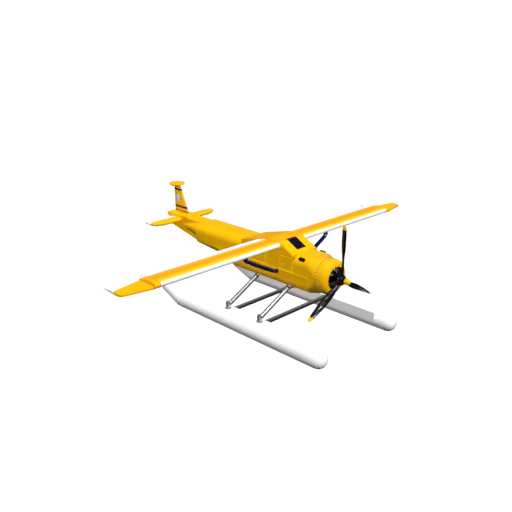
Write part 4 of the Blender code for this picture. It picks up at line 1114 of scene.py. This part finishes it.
def float_detail():
    """Hatch covers, mooring cleats and a rubbing bead along the deck's inner edge."""
    for side, sign in SIDES.items():
        bits = bmesh.new()
        for y in HATCH_ROWS:
            turned(bits, (sign * HATCH_X, y, DECK_Z), (0, 0, 1), HATCH, 28)
        for y in CLEAT_ROWS:
            spot = Vector((sign * CLEAT_X, y, DECK_Z))
            for step in (-0.035, 0.035):
                turned(bits, spot + Vector((0, step, 0)), (0, 0, 1), CLEAT_POST, 12)
            tube(bits, [spot + Vector((0, a, 0.032 - 0.3 * a * a)) for a in CLEAT_HORN], 0.010)
        edge = sign * (FLOAT_X - FLOAT_R + 0.004)
        tube(bits, [(edge, y, DECK_Z - 0.004) for y in DECK_BEAD], 0.012)
        new_piece("float_fittings_" + side, bits, PAINT["float"])


def tail_detail():
    """Hinge brackets on the rudder post and the lamp at the tail's end."""
    brackets = bmesh.new()
    for z in KNUCKLE_LEVELS:
        turned(brackets, (0.0, RUDDER_POST_Y, z - 0.02), (0, 0, 1), washer(0.04, 0.050, 0.058), 16)
    new_piece("rudder_knuckles", brackets, PAINT["fin"], "rudder_body")
    lamp = bmesh.new()
    turned(lamp, TAIL_LAMP_FOOT, (0, 1, 0), TAIL_LAMP, 16)
    new_piece("tail_lamp", lamp, PAINT["window"])


def stage():
    """A pale floor that sweeps up far behind, a soft sky and three lamps without shadows."""
    sweep = bmesh.new()
    turns = [2 * pi * s / 64 for s in range(64)]
    rings = [[(reach * cos(turn), reach * sin(turn), height - 0.002) for turn in turns]
             for height, reach in FLOOR_SWEEP]
    loft(sweep, rings, capped=False)
    bmesh.ops.recalc_face_normals(sweep, faces=sweep.faces)
    mesh = bpy.data.meshes.new("floor")
    sweep.to_mesh(mesh)
    sweep.free()
    mesh.shade_smooth()
    floor = bpy.data.objects.new("floor", mesh)
    bpy.context.scene.collection.objects.link(floor)
    shade = Shade("floor_pale")
    tone = shade.blend(shade.noise(0.05), (0.49, 0.49, 0.49), (0.51, 0.51, 0.51))
    shade.shader.inputs["Emission Color"].default_value = (1.0, 1.0, 1.0, 1.0)
    shade.feed(shade.shader.inputs["Emission Strength"], shade.fade(shade.z, 0.5, 6.0, 0.56, 1.0))
    shade.shader.inputs["Specular IOR Level"].default_value = 0.0
    mesh.materials.append(shade.finish(tone, (0.8, 0.9), shade.times(shade.noise(3.0), 0.0001)))
    floor.visible_diffuse = False
    floor.visible_glossy = False
    floor.visible_shadow = False

    world = bpy.data.worlds.new("studio")
    bpy.context.scene.world = world
    world.use_nodes = True
    nodes, links = world.node_tree.nodes, world.node_tree.links
    coords = nodes.new("ShaderNodeTexCoord")
    split = nodes.new("ShaderNodeSeparateXYZ")
    links.new(coords.outputs["Generated"], split.inputs[0])
    ramp = nodes.new("ShaderNodeMapRange")
    ramp.interpolation_type = "SMOOTHSTEP"
    for key, value in (("From Min", -0.10), ("From Max", 0.10), ("To Min", 0.03), ("To Max", 0.10)):
        ramp.inputs[key].default_value = value
    links.new(split.outputs["Z"], ramp.inputs["Value"])
    background = nodes["Background"]
    background.inputs["Color"].default_value = (1.0, 1.0, 1.0, 1.0)
    links.new(ramp.outputs[0], background.inputs["Strength"])

    for name, toward, energy, width, gloss in LAMPS:
        lamp = bpy.data.lights.new(name, "SUN")
        lamp.energy = energy
        lamp.angle = radians(width)
        lamp.use_shadow = False
        item = bpy.data.objects.new(name, lamp)
        item.rotation_euler = Vector(toward).to_track_quat("Z", "Y").to_euler()
        item.visible_glossy = gloss
        bpy.context.scene.collection.objects.link(item)


def camera():
    """The photo's view."""
    lens = bpy.data.cameras.new("camera")
    lens.angle = radians(CAMERA_ANGLE)
    lens.clip_end = 400.0
    view = bpy.data.objects.new("camera", lens)
    view.location = CAMERA_PLACE
    view.rotation_euler = (radians(90.0 - CAMERA_DOWN), 0.0, radians(CAMERA_TURN))
    bpy.context.scene.collection.objects.link(view)
    bpy.context.scene.camera = view
    bpy.context.scene.view_settings.view_transform = "Standard"


camera()
paint_nodes()
engine_detail()
propeller_detail()
cowl_detail()
windscreen_detail()
door_detail()
seats()
cockpit()
strut_detail()
float_detail()
tail_detail()
stage()

bpy.context.view_layer.update()
